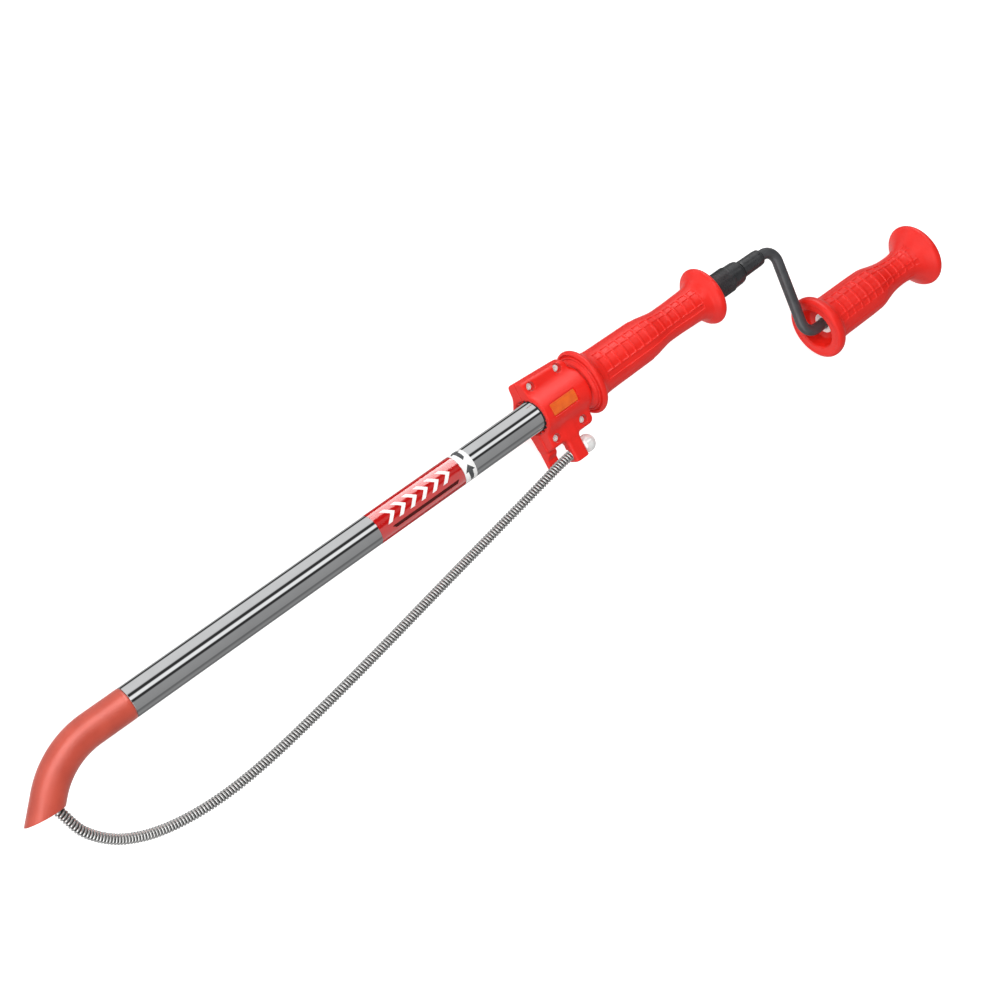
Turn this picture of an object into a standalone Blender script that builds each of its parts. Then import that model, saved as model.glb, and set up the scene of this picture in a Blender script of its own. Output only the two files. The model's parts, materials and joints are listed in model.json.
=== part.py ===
"""Toilet (closet) auger: a telescoping hand-cranked drain snake, lying on its side.

Metres, +Z up. The tool's axis runs along X, from the bowl end (-X) to the crank (+X). The elbow,
the cable's free loop, its hook and the crank's throw all lie on the -Y side of that axis, in the
level plane through it. Positions in that plane are written (x, side), side being the distance
from the axis towards -Y.
"""
import math

import bmesh
import bpy
from mathutils import Vector

# ---- whole tool ---------------------------------------------------------------------
CRANK_THROW = 0.0985             # tool axis to crank grip axis
CLEARANCE = 0.0003               # gap between touching pieces
RUNNING_GAP = 0.0004             # gap between pieces that turn or slide on each other

# ---- guide tube and bowl guard ------------------------------------------------------
TUBE_RADIUS = 0.015875           # 1 1/4 inch steel tube
TUBE_WALL = 0.0014
TUBE_X = (-0.4351, 0.0780)       # from the guard to inside the housing
BEND_START_X = -0.4741
BEND_RADIUS = 0.0854
BEND_ANGLE = math.radians(46.0)
ELBOW_RADIUS = 0.01415           # thinner steel elbow pressed into the guide tube
ELBOW_WALL = 0.0010
ELBOW_START_X = -0.4150
ELBOW_PAST_BEND = 0.001          # straight end past the bend
GUARD_RADIUS = 0.0159
GUARD_START_X = -0.4354
GUARD_PAST_BEND = 0.0188         # along the centreline, to the slanted mouth
GUARD_MOUTH_SLANT = math.radians(38.0)

# ---- bands on the tube --------------------------------------------------------------
LABEL_X = (-0.1525, -0.0478)
BAND_X = (-0.0474, -0.0331)
WRAP_THICKNESS = 0.0004

# ---- collar housing, split at the level of the axis ---------------------------------
HOUSING_X = (0.0525, 0.1148)     # its front, at the tube's axis, and its rear
FRONT_LEAN = 0.18                # how far the front face leans back for each metre of height
PLATE_HALF_WIDTH = 0.0390
PLATE_REAR_HALF_WIDTH = 0.0350
PLATE_REAR_X = 0.1105
PLATE_RISES = {1: (0.0092, 0.0113), -1: (0.0110, 0.0133)}    # each half, at its edge and its root
PLATE_ROOT_SIDE = 0.0190
BARREL_RADIUS = 0.0230
MOUTH_RADIUS = 0.0190            # open front of the housing, round the tube
MOUTH_FLOOR_X = 0.0600
SCREW_X = (0.0629, 0.0989)
SCREW_SIDE = 0.0294
SCREW_HEAD_RADIUS = 0.0033
SCREW_SHANK_RADIUS = 0.0018
SCREW_SEAT = 0.0061              # height of the screw heads' seats over the axis
BADGE_X = (0.0651, 0.0984)
BADGE_WIDTH = 0.0140
BADGE_FLOOR = 0.0208             # height of the badge recess over the axis
BADGE_THICKNESS = 0.0009
FINGER_RISE = 0.0104             # top of the hook finger over the cable
HOUSING_ROLL = math.radians(7.4)  # turned on the tube, its hook side lower

# ---- telescoping inner tube and its bush --------------------------------------------
INNER_TUBE_RADIUS = 0.0139
INNER_TUBE_WALL = 0.0010
INNER_TUBE_X = (-0.3950, 0.2920)
SLIDE_BUSH_X = (0.0786, 0.0980)
SLIDE_BUSH_RADIUS = 0.0170
RETAINING_RING_X = (0.0610, 0.0650)
RETAINING_RING_RADIUS = 0.0182

# ---- foregrip -----------------------------------------------------------------------
FOREGRIP_X = (0.1153, 0.3020)
FOREGRIP_DISC_RADIUS = 0.0355
FOREGRIP_END_RADIUS = 0.0319

# ---- drive: shaft, coupling, crank --------------------------------------------------
SHAFT_RADIUS = 0.00635
SHAFT_X = (0.0960, 0.3440)
COUPLING_X = (0.3058, 0.3521)
COUPLING_RADIUS = 0.0141
COUPLING_PIN_X = 0.3230
SOCKET_X = (0.3524, 0.3837)
SOCKET_RADIUS = 0.0093
ROD_RADIUS = 0.0060
ROD_BEND_RADIUS = 0.0130
ROD_UPPER_CORNER_X = 0.4033      # where the arm's line crosses the tool axis
ROD_LOWER_CORNER_X = 0.3856      # where it crosses the crank grip's axis
ROD_START_X = 0.3600
ROD_END_X = 0.5480

# ---- crank grip ---------------------------------------------------------------------
CRANK_GRIP_X = (0.3993, 0.5685)
CRANK_FLANGE_RADIUS = 0.0358
GRIP_FLOOR_X = 0.4150            # bottom of the open recess in the grip's front

# ---- cable --------------------------------------------------------------------------
CABLE_RADIUS = 0.0052
CABLE_CORE_X = (-0.4580, 0.0860)
CENTRED_UNTIL_X = -0.4800         # from here it swings out, then in to the mouth's inner side
BULB_RADIUS = 0.0094
BULB_X = 0.0952
HOOK_SIDE = 0.0547               # where the hook holds the cable, in the housing's own level

# The tool rests on its crank grip's flanges, and is centred on its own width.
AXIS_Z = CRANK_FLANGE_RADIUS
AXIS_Y = (CRANK_THROW + CRANK_FLANGE_RADIUS - PLATE_HALF_WIDTH) / 2

# Where the cable runs inside the elbow, between its centreline and the mouth: (x, side).
ELBOW_ROUTE = [(-0.4971, -0.0005), (-0.5212, 0.0071), (-0.5297, 0.0124), (-0.5362, 0.0211),
               (-0.5381, 0.0320)]

# Route of the free cable, from the guard's mouth to the bulb: (x, side, height over the floor).
CABLE_ROUTE = [
    (-0.5363, 0.0424, 0.0358),
    (-0.5349, 0.0476, 0.0357),
    (-0.5285, 0.0692, 0.0336),
    (-0.5099, 0.0921, 0.0256),
    (-0.4859, 0.1078, 0.0166),
    (-0.4587, 0.1181, 0.0090),
    (-0.4294, 0.1238, 0.0056),
    (-0.3994, 0.1259, 0.0054),
    (-0.3693, 0.1254, 0.0054),
    (-0.3393, 0.1232, 0.0054),
    (-0.3094, 0.1198, 0.0054),
    (-0.2497, 0.1116, 0.0054),
    (-0.1902, 0.1025, 0.0054),
    (-0.1308, 0.0928, 0.0054),
    (-0.0900, 0.0862, 0.0054),
    (-0.0610, 0.0815, 0.0060),
    (-0.0360, 0.0768, 0.0088),
    (-0.0100, 0.0711, 0.0145),
    (0.0160, 0.0652, 0.0212),
    (0.0400, 0.0598, 0.0264),
    (0.0600, 0.0561, 0.0284),
    (0.0770, 0.0543, 0.0288),
    (0.0886, 0.0542, 0.0288),
]

COLOURS = {                      # base colour, roughness, metallic
    "chrome": ((0.62, 0.63, 0.64), 0.12, 1.0),
    "guard_vinyl": ((0.62, 0.13, 0.07), 0.45, 0.0),
    "label_red": ((0.62, 0.02, 0.02), 0.30, 0.0),
    "label_white": ((0.85, 0.85, 0.85), 0.35, 0.0),
    "red_plastic": ((0.80, 0.02, 0.015), 0.35, 0.0),
    "badge_orange": ((0.75, 0.16, 0.02), 0.40, 0.0),
    "zinc_steel": ((0.60, 0.60, 0.58), 0.30, 1.0),
    "cable_steel": ((0.48, 0.48, 0.47), 0.30, 1.0),
    "black_steel": ((0.035, 0.037, 0.040), 0.50, 0.6),
    "nylon": ((0.82, 0.82, 0.78), 0.40, 0.0),
}


# ---- placing and materials ----------------------------------------------------------
def at(x, side=0.0, rise=0.0):
    """World point at x, that far to the -Y side of the tool axis and that far above it."""
    return Vector((x, AXIS_Y - side, AXIS_Z + rise))


def material(slot):
    """The Principled material of a slot, made once."""
    found = bpy.data.materials.get(slot)
    if found:
        return found
    colour, roughness, metallic = COLOURS[slot]
    made = bpy.data.materials.new(slot)
    made.use_nodes = True
    shader = made.node_tree.nodes["Principled BSDF"]
    shader.inputs["Base Color"].default_value = (*colour, 1.0)
    shader.inputs["Roughness"].default_value = roughness
    shader.inputs["Metallic"].default_value = metallic
    return made


def add_object(name, data, collection, slot=None, parent=None):
    """A new object in a collection, with its material and parent."""
    made = bpy.data.objects.new(name, data)
    collection.objects.link(made)
    if slot:
        data.materials.append(material(slot))
    if parent:
        made.parent = parent
        made.matrix_parent_inverse = parent.matrix_world.inverted()
    return made


def as_cutter(tool):
    """Hides a cutter and draws it as wire."""
    tool.hide_render = True
    tool.display_type = "WIRE"
    return tool


def boolean(target, tool, operation):
    """Adds an exact Boolean modifier."""
    step = target.modifiers.new(operation.lower(), "BOOLEAN")
    step.operation = operation
    step.object = tool
    step.solver = "EXACT"


# ---- shapes -------------------------------------------------------------------------
def turned(name, outline, collection, slot=None, parent=None, side=0.0, steps=24):
    """A piece turned about a line along X. The outline is (x, radius) points, from the rear end
    along the outside to the front end, and back along the bore if the piece has one."""
    points = [(radius, 0.0, x) for x, radius in outline]
    edges = [(i, i + 1) for i in range(len(points) - 1)]
    if outline[0][1] > 0:
        edges.append((len(points) - 1, 0))
    mesh = bpy.data.meshes.new(name)
    mesh.from_pydata(points, edges, [])
    piece = add_object(name, mesh, collection, slot)
    piece.location = at(0.0, side)
    piece.rotation_euler = (0.0, math.pi / 2, 0.0)
    bpy.context.view_layer.update()
    if parent:
        piece.parent = parent
        piece.matrix_parent_inverse = parent.matrix_world.inverted()
    screw = piece.modifiers.new("turn", "SCREW")
    screw.steps = steps
    screw.render_steps = steps
    screw.use_merge_vertices = True
    screw.merge_threshold = 0.00001
    screw.use_smooth_shade = True
    return piece


def ring(name, x_range, outer, inner, collection, slot=None, parent=None, side=0.0, steps=24):
    """A plain turned ring or sleeve."""
    front, rear = x_range
    outline = [(rear, inner), (rear, outer), (front, outer), (front, inner)]
    return turned(name, outline, collection, slot, parent, side, steps)


def rod(name, x_range, radius, collection, slot=None, parent=None, side=0.0, steps=16):
    """A plain round bar along X."""
    front, rear = x_range
    outline = [(rear, 0.0), (rear, radius), (front, radius), (front, 0.0)]
    return turned(name, outline, collection, slot, parent, side, steps)


def rounded_path(corners, radius, arc_steps):
    """Points along straight runs through the corners, each inner corner rounded to a radius."""
    path = [corners[0]]
    for before, corner, after in zip(corners, corners[1:], corners[2:]):
        incoming = (corner - before).normalized()
        outgoing = (after - corner).normalized()
        turn = incoming.angle(outgoing)
        start = corner - incoming * radius * math.tan(turn / 2)
        inward = (outgoing - incoming * incoming.dot(outgoing)).normalized()
        centre = start + inward * radius
        for i in range(arc_steps + 1):
            angle = turn * i / arc_steps
            path.append(centre - inward * radius * math.cos(angle) + incoming * radius * math.sin(angle))
    path.append(corners[-1])
    return path


def smooth_path(points, spacing):
    """Points about a spacing apart on the Catmull-Rom curve through the given points."""
    padded = [2 * points[0] - points[1], *points, 2 * points[-1] - points[-2]]
    path = []
    for a, b, c, d in zip(padded, padded[1:], padded[2:], padded[3:]):
        count = max(1, round((c - b).length / spacing))
        for i in range(count):
            t = i / count
            path.append(0.5 * (2 * b + (c - a) * t + (2 * a - 5 * b + 4 * c - d) * t * t
                               + (3 * b - 3 * c + d - a) * t * t * t))
    path.append(points[-1])
    return path


def bar_along(name, path, radius, collection, slot=None, parent=None, resolution=2, capped=True):
    """A round bar, or an open tube's skin, along a path."""
    curve = bpy.data.curves.new(name, "CURVE")
    curve.dimensions = "3D"
    curve.bevel_depth = radius
    curve.bevel_resolution = resolution
    curve.use_fill_caps = capped
    spline = curve.splines.new("POLY")
    spline.points.add(len(path) - 1)
    for point, place in zip(spline.points, path):
        point.co = (*place, 1.0)
    spline.use_smooth = True
    return add_object(name, curve, collection, slot, parent)


def slab(name, outline, low, high, collection):
    """A flat outline, (x, side) points, filled and thickened between two heights over the axis."""
    curve = bpy.data.curves.new(name, "CURVE")
    curve.dimensions = "2D"
    curve.fill_mode = "BOTH"
    curve.extrude = (high - low) / 2
    spline = curve.splines.new("POLY")
    spline.points.add(len(outline) - 1)
    for point, (x, side) in zip(spline.points, outline):
        point.co = (x, AXIS_Y - side, 0.0, 1.0)
    spline.use_cyclic_u = True
    flat = add_object(name, curve, collection)
    flat.location.z = AXIS_Z + (low + high) / 2
    return solid_of(flat)


def solid_of(curve_object, slot=None, parent=None):
    """Replaces a curve object by a closed mesh of the same name and place."""
    bpy.context.view_layer.update()
    name = curve_object.name
    collection = curve_object.users_collection[0]
    evaluated = curve_object.evaluated_get(bpy.context.evaluated_depsgraph_get())
    mesh = bpy.data.meshes.new_from_object(evaluated)
    cage = bmesh.new()
    cage.from_mesh(mesh)
    bmesh.ops.remove_doubles(cage, verts=cage.verts, dist=0.00001)
    bmesh.ops.recalc_face_normals(cage, faces=cage.faces)
    cage.to_mesh(mesh)
    cage.free()
    place = curve_object.matrix_world.copy()
    bpy.data.objects.remove(curve_object)
    made = add_object(name, mesh, collection, slot)
    made.matrix_world = place
    bpy.context.view_layer.update()
    if parent:
        made.parent = parent
        made.matrix_parent_inverse = parent.matrix_world.inverted()
    return made


def upright(name, centre, radius, low, high, collection, sides=16):
    """A vertical cylinder between two heights over the axis, for screws and their holes."""
    mesh = bpy.data.meshes.new(name)
    cage = bmesh.new()
    bmesh.ops.create_cone(cage, cap_ends=True, segments=sides, radius1=radius, radius2=radius,
                          depth=high - low)
    cage.to_mesh(mesh)
    cage.free()
    made = add_object(name, mesh, collection)
    made.location = at(centre[0], centre[1], (low + high) / 2)
    return made


def block(name, x_range, side_range, rise_range, collection):
    """A rectangular block between two x, two side distances and two heights over the axis."""
    mesh = bpy.data.meshes.new(name)
    cage = bmesh.new()
    bmesh.ops.create_cube(cage, size=1.0)
    spans = (x_range, side_range, rise_range)
    sizes = [high - low for low, high in spans]
    bmesh.ops.scale(cage, vec=Vector(sizes), verts=cage.verts)
    cage.to_mesh(mesh)
    cage.free()
    made = add_object(name, mesh, collection)
    made.location = at(*[(low + high) / 2 for low, high in spans])
    return made


def prism(name, section, front, rear, sign, collection):
    """A bar along X with a (side, rise) section, its rise turned up or down by the sign."""
    count = len(section)
    ends = [at(x, side, sign * rise) for x in (front, rear) for side, rise in section]
    around = [(i, (i + 1) % count, count + (i + 1) % count, count + i) for i in range(count)]
    mesh = bpy.data.meshes.new(name)
    mesh.from_pydata(ends, [], [tuple(range(count)), tuple(range(count, 2 * count))] + around)
    cage = bmesh.new()
    cage.from_mesh(mesh)
    bmesh.ops.recalc_face_normals(cage, faces=cage.faces)
    cage.to_mesh(mesh)
    cage.free()
    return add_object(name, mesh, collection)


# ---- guide tube, guard and bands ----------------------------------------------------
def bend_direction():
    """Direction of the elbow's leg, in the (x, side) plane."""
    return Vector((-math.cos(BEND_ANGLE), math.sin(BEND_ANGLE)))


def bend_corner():
    """(x, side) of the corner where the elbow's two straight legs would meet."""
    return Vector((BEND_START_X - BEND_RADIUS * math.tan(BEND_ANGLE / 2), 0.0))


def elbow_path(start_x, past_bend, arc_steps=12):
    """Centreline from start_x round the elbow, to a distance past its end."""
    corner = bend_corner()
    leg = BEND_RADIUS * math.tan(BEND_ANGLE / 2) + past_bend
    end = corner + bend_direction() * leg
    corners = [at(start_x), at(*corner), at(*end)]
    return rounded_path(corners, BEND_RADIUS, arc_steps)


def hollow_tube(name, path, radius, wall, collection, slot, resolution):
    """An open tube with a real wall, as a mesh."""
    skin = bar_along(name, path, radius, collection, resolution=resolution, capped=False)
    tube = solid_of(skin, slot)
    shell = tube.modifiers.new("wall", "SOLIDIFY")
    shell.thickness = wall
    shell.offset = -1.0
    shell.use_even_offset = True
    return tube


def make_guide(parts, cutters):
    """The chromed guide tube, its steel elbow, the vinyl bowl guard and the two printed bands."""
    ring("guide_tube", TUBE_X, TUBE_RADIUS, TUBE_RADIUS - TUBE_WALL, parts, "chrome", steps=40)
    path = elbow_path(ELBOW_START_X, ELBOW_PAST_BEND)
    hollow_tube("elbow_tube", path, ELBOW_RADIUS, ELBOW_WALL, parts, "zinc_steel", 8)
    overrun = 0.030
    path = elbow_path(GUARD_START_X, GUARD_PAST_BEND + overrun)
    wall = GUARD_RADIUS - ELBOW_RADIUS - CLEARANCE
    guard = hollow_tube("bowl_guard", path, GUARD_RADIUS, wall, parts, "guard_vinyl", 10)
    boolean(guard, mouth_cutter(cutters), "DIFFERENCE")
    inner = TUBE_RADIUS + CLEARANCE
    ring("label_wrap", LABEL_X, inner + WRAP_THICKNESS, inner, parts, "label_red", steps=32)
    ring("direction_band", BAND_X, inner + WRAP_THICKNESS, inner, parts, "label_white", steps=32)


def mouth_cutter(cutters):
    """A block whose face is the slanted plane of the guard's mouth."""
    size = 0.12
    mesh = bpy.data.meshes.new("mouth_cutter")
    cage = bmesh.new()
    bmesh.ops.create_cube(cage, size=size)
    bmesh.ops.translate(cage, vec=Vector((size / 2, 0.0, 0.0)), verts=cage.verts)
    cage.to_mesh(mesh)
    cage.free()
    cutter = as_cutter(add_object("mouth_cutter", mesh, cutters))
    direction = bend_direction()
    end = bend_corner() + direction * (BEND_RADIUS * math.tan(BEND_ANGLE / 2) + GUARD_PAST_BEND)
    cutter.location = at(*end)
    heading = math.atan2(-direction.y, direction.x)
    cutter.rotation_euler = (0.0, 0.0, heading + GUARD_MOUTH_SLANT)
    return cutter


# ---- collar housing -----------------------------------------------------------------
def housing_block(name, sign, parts, cutters):
    """One half of the collar housing: plate, half barrel and hook finger, cut for what it holds."""
    front, rear = HOUSING_X[0] - 0.006, HOUSING_X[1]
    outline = [(front, -PLATE_HALF_WIDTH), (PLATE_REAR_X - 0.006, -PLATE_REAR_HALF_WIDTH),
               (PLATE_REAR_X, -PLATE_REAR_HALF_WIDTH + 0.006), (PLATE_REAR_X, PLATE_HALF_WIDTH - 0.005),
               (PLATE_REAR_X - 0.005, PLATE_HALF_WIDTH), (front, PLATE_HALF_WIDTH)]
    half = slab(name, outline, *sorted((sign * CLEARANCE / 2, sign * 0.0150)), parts)
    half.data.materials.append(material("red_plastic"))
    boolean(half, as_cutter(plate_section(name + "_section", sign, cutters)), "INTERSECT")
    barrel = rod(name + "_barrel", (front, rear), BARREL_RADIUS, cutters, steps=24)
    boolean(half, as_cutter(barrel), "UNION")
    boolean(half, as_cutter(hook_finger(name + "_finger", sign, cutters)), "UNION")
    depth = 2 * BARREL_RADIUS
    other = (-depth, CLEARANCE / 2) if sign > 0 else (-CLEARANCE / 2, depth)
    away = block(name + "_split", (front - 0.01, rear + 0.01), (-0.09, 0.045), other, cutters)
    boolean(half, as_cutter(away), "DIFFERENCE")
    boolean(half, as_cutter(front_cutter(name + "_front", cutters)), "DIFFERENCE")
    boolean(half, as_cutter(housing_bore(name + "_bore", cutters)), "DIFFERENCE")
    return half


def front_cutter(name, cutters):
    """What the housing's leaning front face cuts away."""
    cutter = block(name, (0.0, HOUSING_X[0]), (-0.09, 0.09), (-0.03, 0.03), cutters)
    for corner in cutter.data.vertices:
        corner.co.x += FRONT_LEAN * corner.co.z
    return cutter


def plate_section(name, sign, cutters):
    """A bar along X with the plate's cross-section, thicker towards the barrel."""
    low, root = PLATE_RISES[sign]
    slope = (root - low) / (PLATE_HALF_WIDTH - PLATE_ROOT_SIDE)
    reach = PLATE_HALF_WIDTH + 0.010
    edge = low - slope * 0.010
    section = [(-reach, edge), (-PLATE_ROOT_SIDE, root), (PLATE_ROOT_SIDE, root),
               (reach, edge), (reach, -0.001), (-reach, -0.001)]
    return prism(name, section, HOUSING_X[0] - 0.01, HOUSING_X[1] + 0.01, sign, cutters)


def hook_finger(name, sign, cutters):
    """The finger that catches the cable's free end: over the cable on one half, under it on the other."""
    if sign > 0:
        finger = block(name, (0.0712, 0.0886), (0.0165, 0.0626), (-0.0070, FINGER_RISE), cutters)
        slot = block(name + "_slot", (0.0650, 0.0950), (0.0481, 0.0612), (-0.0100, 0.0064), cutters)
    else:
        finger = block(name, (0.0450, 0.0632), (0.0165, 0.0600), (-0.0138, -0.0020), cutters)
        slot = block(name + "_slot", (0.0380, 0.0660), (0.0496, 0.0700), (-0.0075, 0.0100), cutters)
    boolean(finger, as_cutter(slot), "DIFFERENCE")
    return finger


def housing_bore(name, cutters):
    """What the two halves close around: tube seat, retaining groove, bush seat and inner tube."""
    seat = TUBE_RADIUS + CLEARANCE
    groove = RETAINING_RING_RADIUS + CLEARANCE
    bush = SLIDE_BUSH_RADIUS + CLEARANCE
    inner = INNER_TUBE_RADIUS + RUNNING_GAP
    front, rear = HOUSING_X
    outline = [(rear + 0.01, 0.0), (rear + 0.01, inner), (SLIDE_BUSH_X[1] + CLEARANCE, inner),
               (SLIDE_BUSH_X[1] + CLEARANCE, bush), (SLIDE_BUSH_X[0] - CLEARANCE, bush),
               (SLIDE_BUSH_X[0] - CLEARANCE, seat), (RETAINING_RING_X[1] + CLEARANCE, seat),
               (RETAINING_RING_X[1] + CLEARANCE, groove), (RETAINING_RING_X[0] - CLEARANCE, groove),
               (RETAINING_RING_X[0] - CLEARANCE, seat), (MOUTH_FLOOR_X, seat),
               (MOUTH_FLOOR_X, MOUTH_RADIUS), (front - 0.01, MOUTH_RADIUS), (front - 0.01, 0.0)]
    return turned(name, outline, cutters)


def screw_places():
    """(x, side) of the four housing screws."""
    return [(x, side) for x in SCREW_X for side in (-SCREW_SIDE, SCREW_SIDE)]


def make_housing(parts, cutters):
    """Both halves, their four screws, the badge plate and the cable's bulb, rolled on the tube."""
    others = set(bpy.data.objects)
    top = housing_block("housing_top", 1, parts, cutters)
    bottom = housing_block("housing_bottom", -1, parts, cutters)
    for number, place in enumerate(screw_places(), 1):
        head = SCREW_HEAD_RADIUS + CLEARANCE
        shank = SCREW_SHANK_RADIUS + CLEARANCE
        counterbore = upright(f"counterbore_{number}", place, head, SCREW_SEAT, 0.0140, cutters)
        clearance = upright(f"screw_hole_{number}", place, shank, -0.0048, SCREW_SEAT + 0.001, cutters)
        boolean(top, as_cutter(counterbore), "DIFFERENCE")
        boolean(top, as_cutter(clearance), "DIFFERENCE")
        boolean(bottom, clearance, "DIFFERENCE")
        housing_screw(f"housing_screw_{number}", place, parts, cutters)
    low, high = BADGE_FLOOR, BADGE_FLOOR + 0.01
    recess = block("badge_recess", BADGE_X, (-BADGE_WIDTH / 2, BADGE_WIDTH / 2), (low, high), cutters)
    boolean(top, as_cutter(recess), "DIFFERENCE")
    edge = CLEARANCE
    badge = block("badge_plate", (BADGE_X[0] + edge, BADGE_X[1] - edge),
                  (-BADGE_WIDTH / 2 + edge, BADGE_WIDTH / 2 - edge),
                  (BADGE_FLOOR + edge, BADGE_FLOOR + edge + BADGE_THICKNESS), parts)
    badge.data.materials.append(material("badge_orange"))
    make_bulb(parts)
    pivot = add_object("housing_roll_axis", None, parts)
    pivot.location = at(0.0)
    bpy.context.view_layer.update()
    for piece in set(bpy.data.objects) - others - {pivot}:
        piece.parent = pivot
        piece.matrix_parent_inverse = pivot.matrix_world.inverted()
    pivot.rotation_euler.x = HOUSING_ROLL


def housing_screw(name, place, parts, cutters):
    """A pan-head screw with a cross recess, standing upright."""
    head_low = SCREW_SEAT + CLEARANCE
    screw = upright(name, place, SCREW_HEAD_RADIUS, head_low, head_low + 0.0020, parts)
    screw.data.materials.append(material("zinc_steel"))
    shank = upright(name + "_shank", place, SCREW_SHANK_RADIUS, -0.0045, head_low + 0.0005, cutters, 12)
    boolean(screw, as_cutter(shank), "UNION")
    x, side = place
    half, thin = 0.0018, 0.0004
    top = (head_low + 0.0012, head_low + 0.01)
    for number, (dx, dy) in enumerate(((half, thin), (thin, half))):
        cut = block(f"{name}_cross_{number}", (x - dx, x + dx), (side - dy, side + dy), top, cutters)
        boolean(screw, as_cutter(cut), "DIFFERENCE")


# ---- telescoping tube and foregrip --------------------------------------------------
def make_slide(parts, cutters, handle):
    """The slide bush and retaining ring in the housing, and the inner tube with the foregrip."""
    ring("slide_bush", SLIDE_BUSH_X, SLIDE_BUSH_RADIUS, INNER_TUBE_RADIUS + RUNNING_GAP, parts, "nylon")
    ring("tube_retaining_ring", RETAINING_RING_X, RETAINING_RING_RADIUS, TUBE_RADIUS + CLEARANCE, parts,
         "zinc_steel", steps=32)
    bore = INNER_TUBE_RADIUS - INNER_TUBE_WALL
    ring("inner_tube", INNER_TUBE_X, INNER_TUBE_RADIUS, bore, parts, "zinc_steel", handle)
    fit = bore - CLEARANCE
    ring("cable_guide_bush", (-0.3945, -0.3790), fit, CABLE_RADIUS + RUNNING_GAP, parts, "nylon", handle)
    ring("shaft_bearing_front", (0.1300, 0.1460), fit, SHAFT_RADIUS + RUNNING_GAP, parts, "nylon", handle)
    ring("shaft_bearing_rear", (0.2730, 0.2910), fit, SHAFT_RADIUS + RUNNING_GAP, parts, "nylon", handle)
    turned("foregrip", foregrip_outline(), parts, "red_plastic", handle, steps=32)


def foregrip_outline():
    """(x, radius) of the foregrip: disc guard, thick part, waist and flared end, then its bore."""
    front, rear = FOREGRIP_X
    disc = FOREGRIP_DISC_RADIUS
    flare = FOREGRIP_END_RADIUS
    bore = INNER_TUBE_RADIUS + CLEARANCE
    floor = INNER_TUBE_X[1] + CLEARANCE
    end_bore = SHAFT_RADIUS + 0.0020
    return [(rear, end_bore), (rear, flare - 0.0046), (rear - 0.0014, flare - 0.0014),
            (rear - 0.0042, flare), (rear - 0.0072, flare - 0.0010), (rear - 0.0100, flare - 0.0041),
            (rear - 0.0128, 0.0240), (rear - 0.0170, 0.0212), (rear - 0.0225, 0.0197), (0.2640, 0.0189),
            (0.2450, 0.0184), (0.2310, 0.0187), (0.2200, 0.0205), (0.2100, 0.0222), (0.1800, 0.0230),
            (0.1450, 0.0236), (0.1380, 0.0242), (0.1320, 0.0262), (0.1282, 0.0300), (0.1262, disc - 0.0022),
            (0.1245, disc - 0.0006), (0.1222, disc), (0.1200, disc - 0.0008), (0.1190, disc - 0.0028),
            (0.1188, 0.0300), (0.1170, 0.0290), (0.1166, 0.0266), (front, 0.0258), (front, bore),
            (floor, bore), (floor, end_bore)]


# ---- drive and crank ----------------------------------------------------------------
def make_drive(parts, cutters, crank):
    """What turns with the crank: cable core, ferrule, shaft, coupling, crank socket and rod."""
    rod("cable_core", CABLE_CORE_X, CABLE_RADIUS, parts, "cable_steel", crank, steps=12)
    start, end = CABLE_CORE_X[1], SHAFT_X[0]
    cup = CABLE_RADIUS + CLEARANCE
    turned("cable_ferrule", [(end + 0.018, SHAFT_RADIUS + CLEARANCE), (end + 0.018, 0.0090),
                             (start - 0.018, 0.0090), (start - 0.018, cup), (start + 0.002, cup),
                             (start + 0.002, SHAFT_RADIUS + CLEARANCE)], parts, "zinc_steel", crank)
    rod("drive_shaft", SHAFT_X, SHAFT_RADIUS, parts, "zinc_steel", crank)
    pin_hole = upright("pin_hole", (COUPLING_PIN_X, 0.0), 0.0020, -0.02, 0.02, cutters, 12)
    boolean(bpy.data.objects["drive_shaft"], as_cutter(pin_hole), "DIFFERENCE")
    ring("thrust_washer", (0.3026, 0.3054), 0.0120, SHAFT_RADIUS + CLEARANCE, parts, "nylon", crank)
    make_coupling(parts, crank, pin_hole)
    pin = upright("coupling_pin", (COUPLING_PIN_X, 0.0), 0.0017, -0.0130, 0.0130, parts, 12)
    pin.data.materials.append(material("zinc_steel"))
    bpy.context.view_layer.update()
    pin.parent = crank
    pin.matrix_parent_inverse = crank.matrix_world.inverted()
    make_socket(parts, crank)
    corners = [at(ROD_START_X), at(ROD_UPPER_CORNER_X), at(ROD_LOWER_CORNER_X, CRANK_THROW),
               at(ROD_END_X, CRANK_THROW)]
    path = rounded_path(corners, ROD_BEND_RADIUS, 9)
    bar_along("crank_rod", path, ROD_RADIUS, parts, "black_steel", crank, resolution=4)
    hole = ROD_RADIUS + CLEARANCE
    ring("grip_washer", (0.4129, 0.4146), 0.0115, hole, parts, "nylon", crank, CRANK_THROW)
    ring("rod_retainer", (0.5405, 0.5422), 0.0096, hole, parts, "zinc_steel", crank, CRANK_THROW)


def make_coupling(parts, crank, pin_hole):
    """The large black sleeve on the shaft's end."""
    front, rear = COUPLING_X
    pocket = 0.0083
    bore = SHAFT_RADIUS + CLEARANCE
    shoulder = COUPLING_RADIUS - 0.0010
    outline = [(rear, pocket), (rear, shoulder - 0.0022), (rear - 0.0016, shoulder - 0.0005),
               (rear - 0.0050, shoulder), (front + 0.0120, COUPLING_RADIUS),
               (front + 0.0010, COUPLING_RADIUS), (front, COUPLING_RADIUS - 0.0010), (front, bore),
               (rear - 0.0050, bore), (rear - 0.0050, pocket)]
    coupling = turned("shaft_coupling", outline, parts, "black_steel", crank, steps=32)
    boolean(coupling, pin_hole, "DIFFERENCE")


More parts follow.
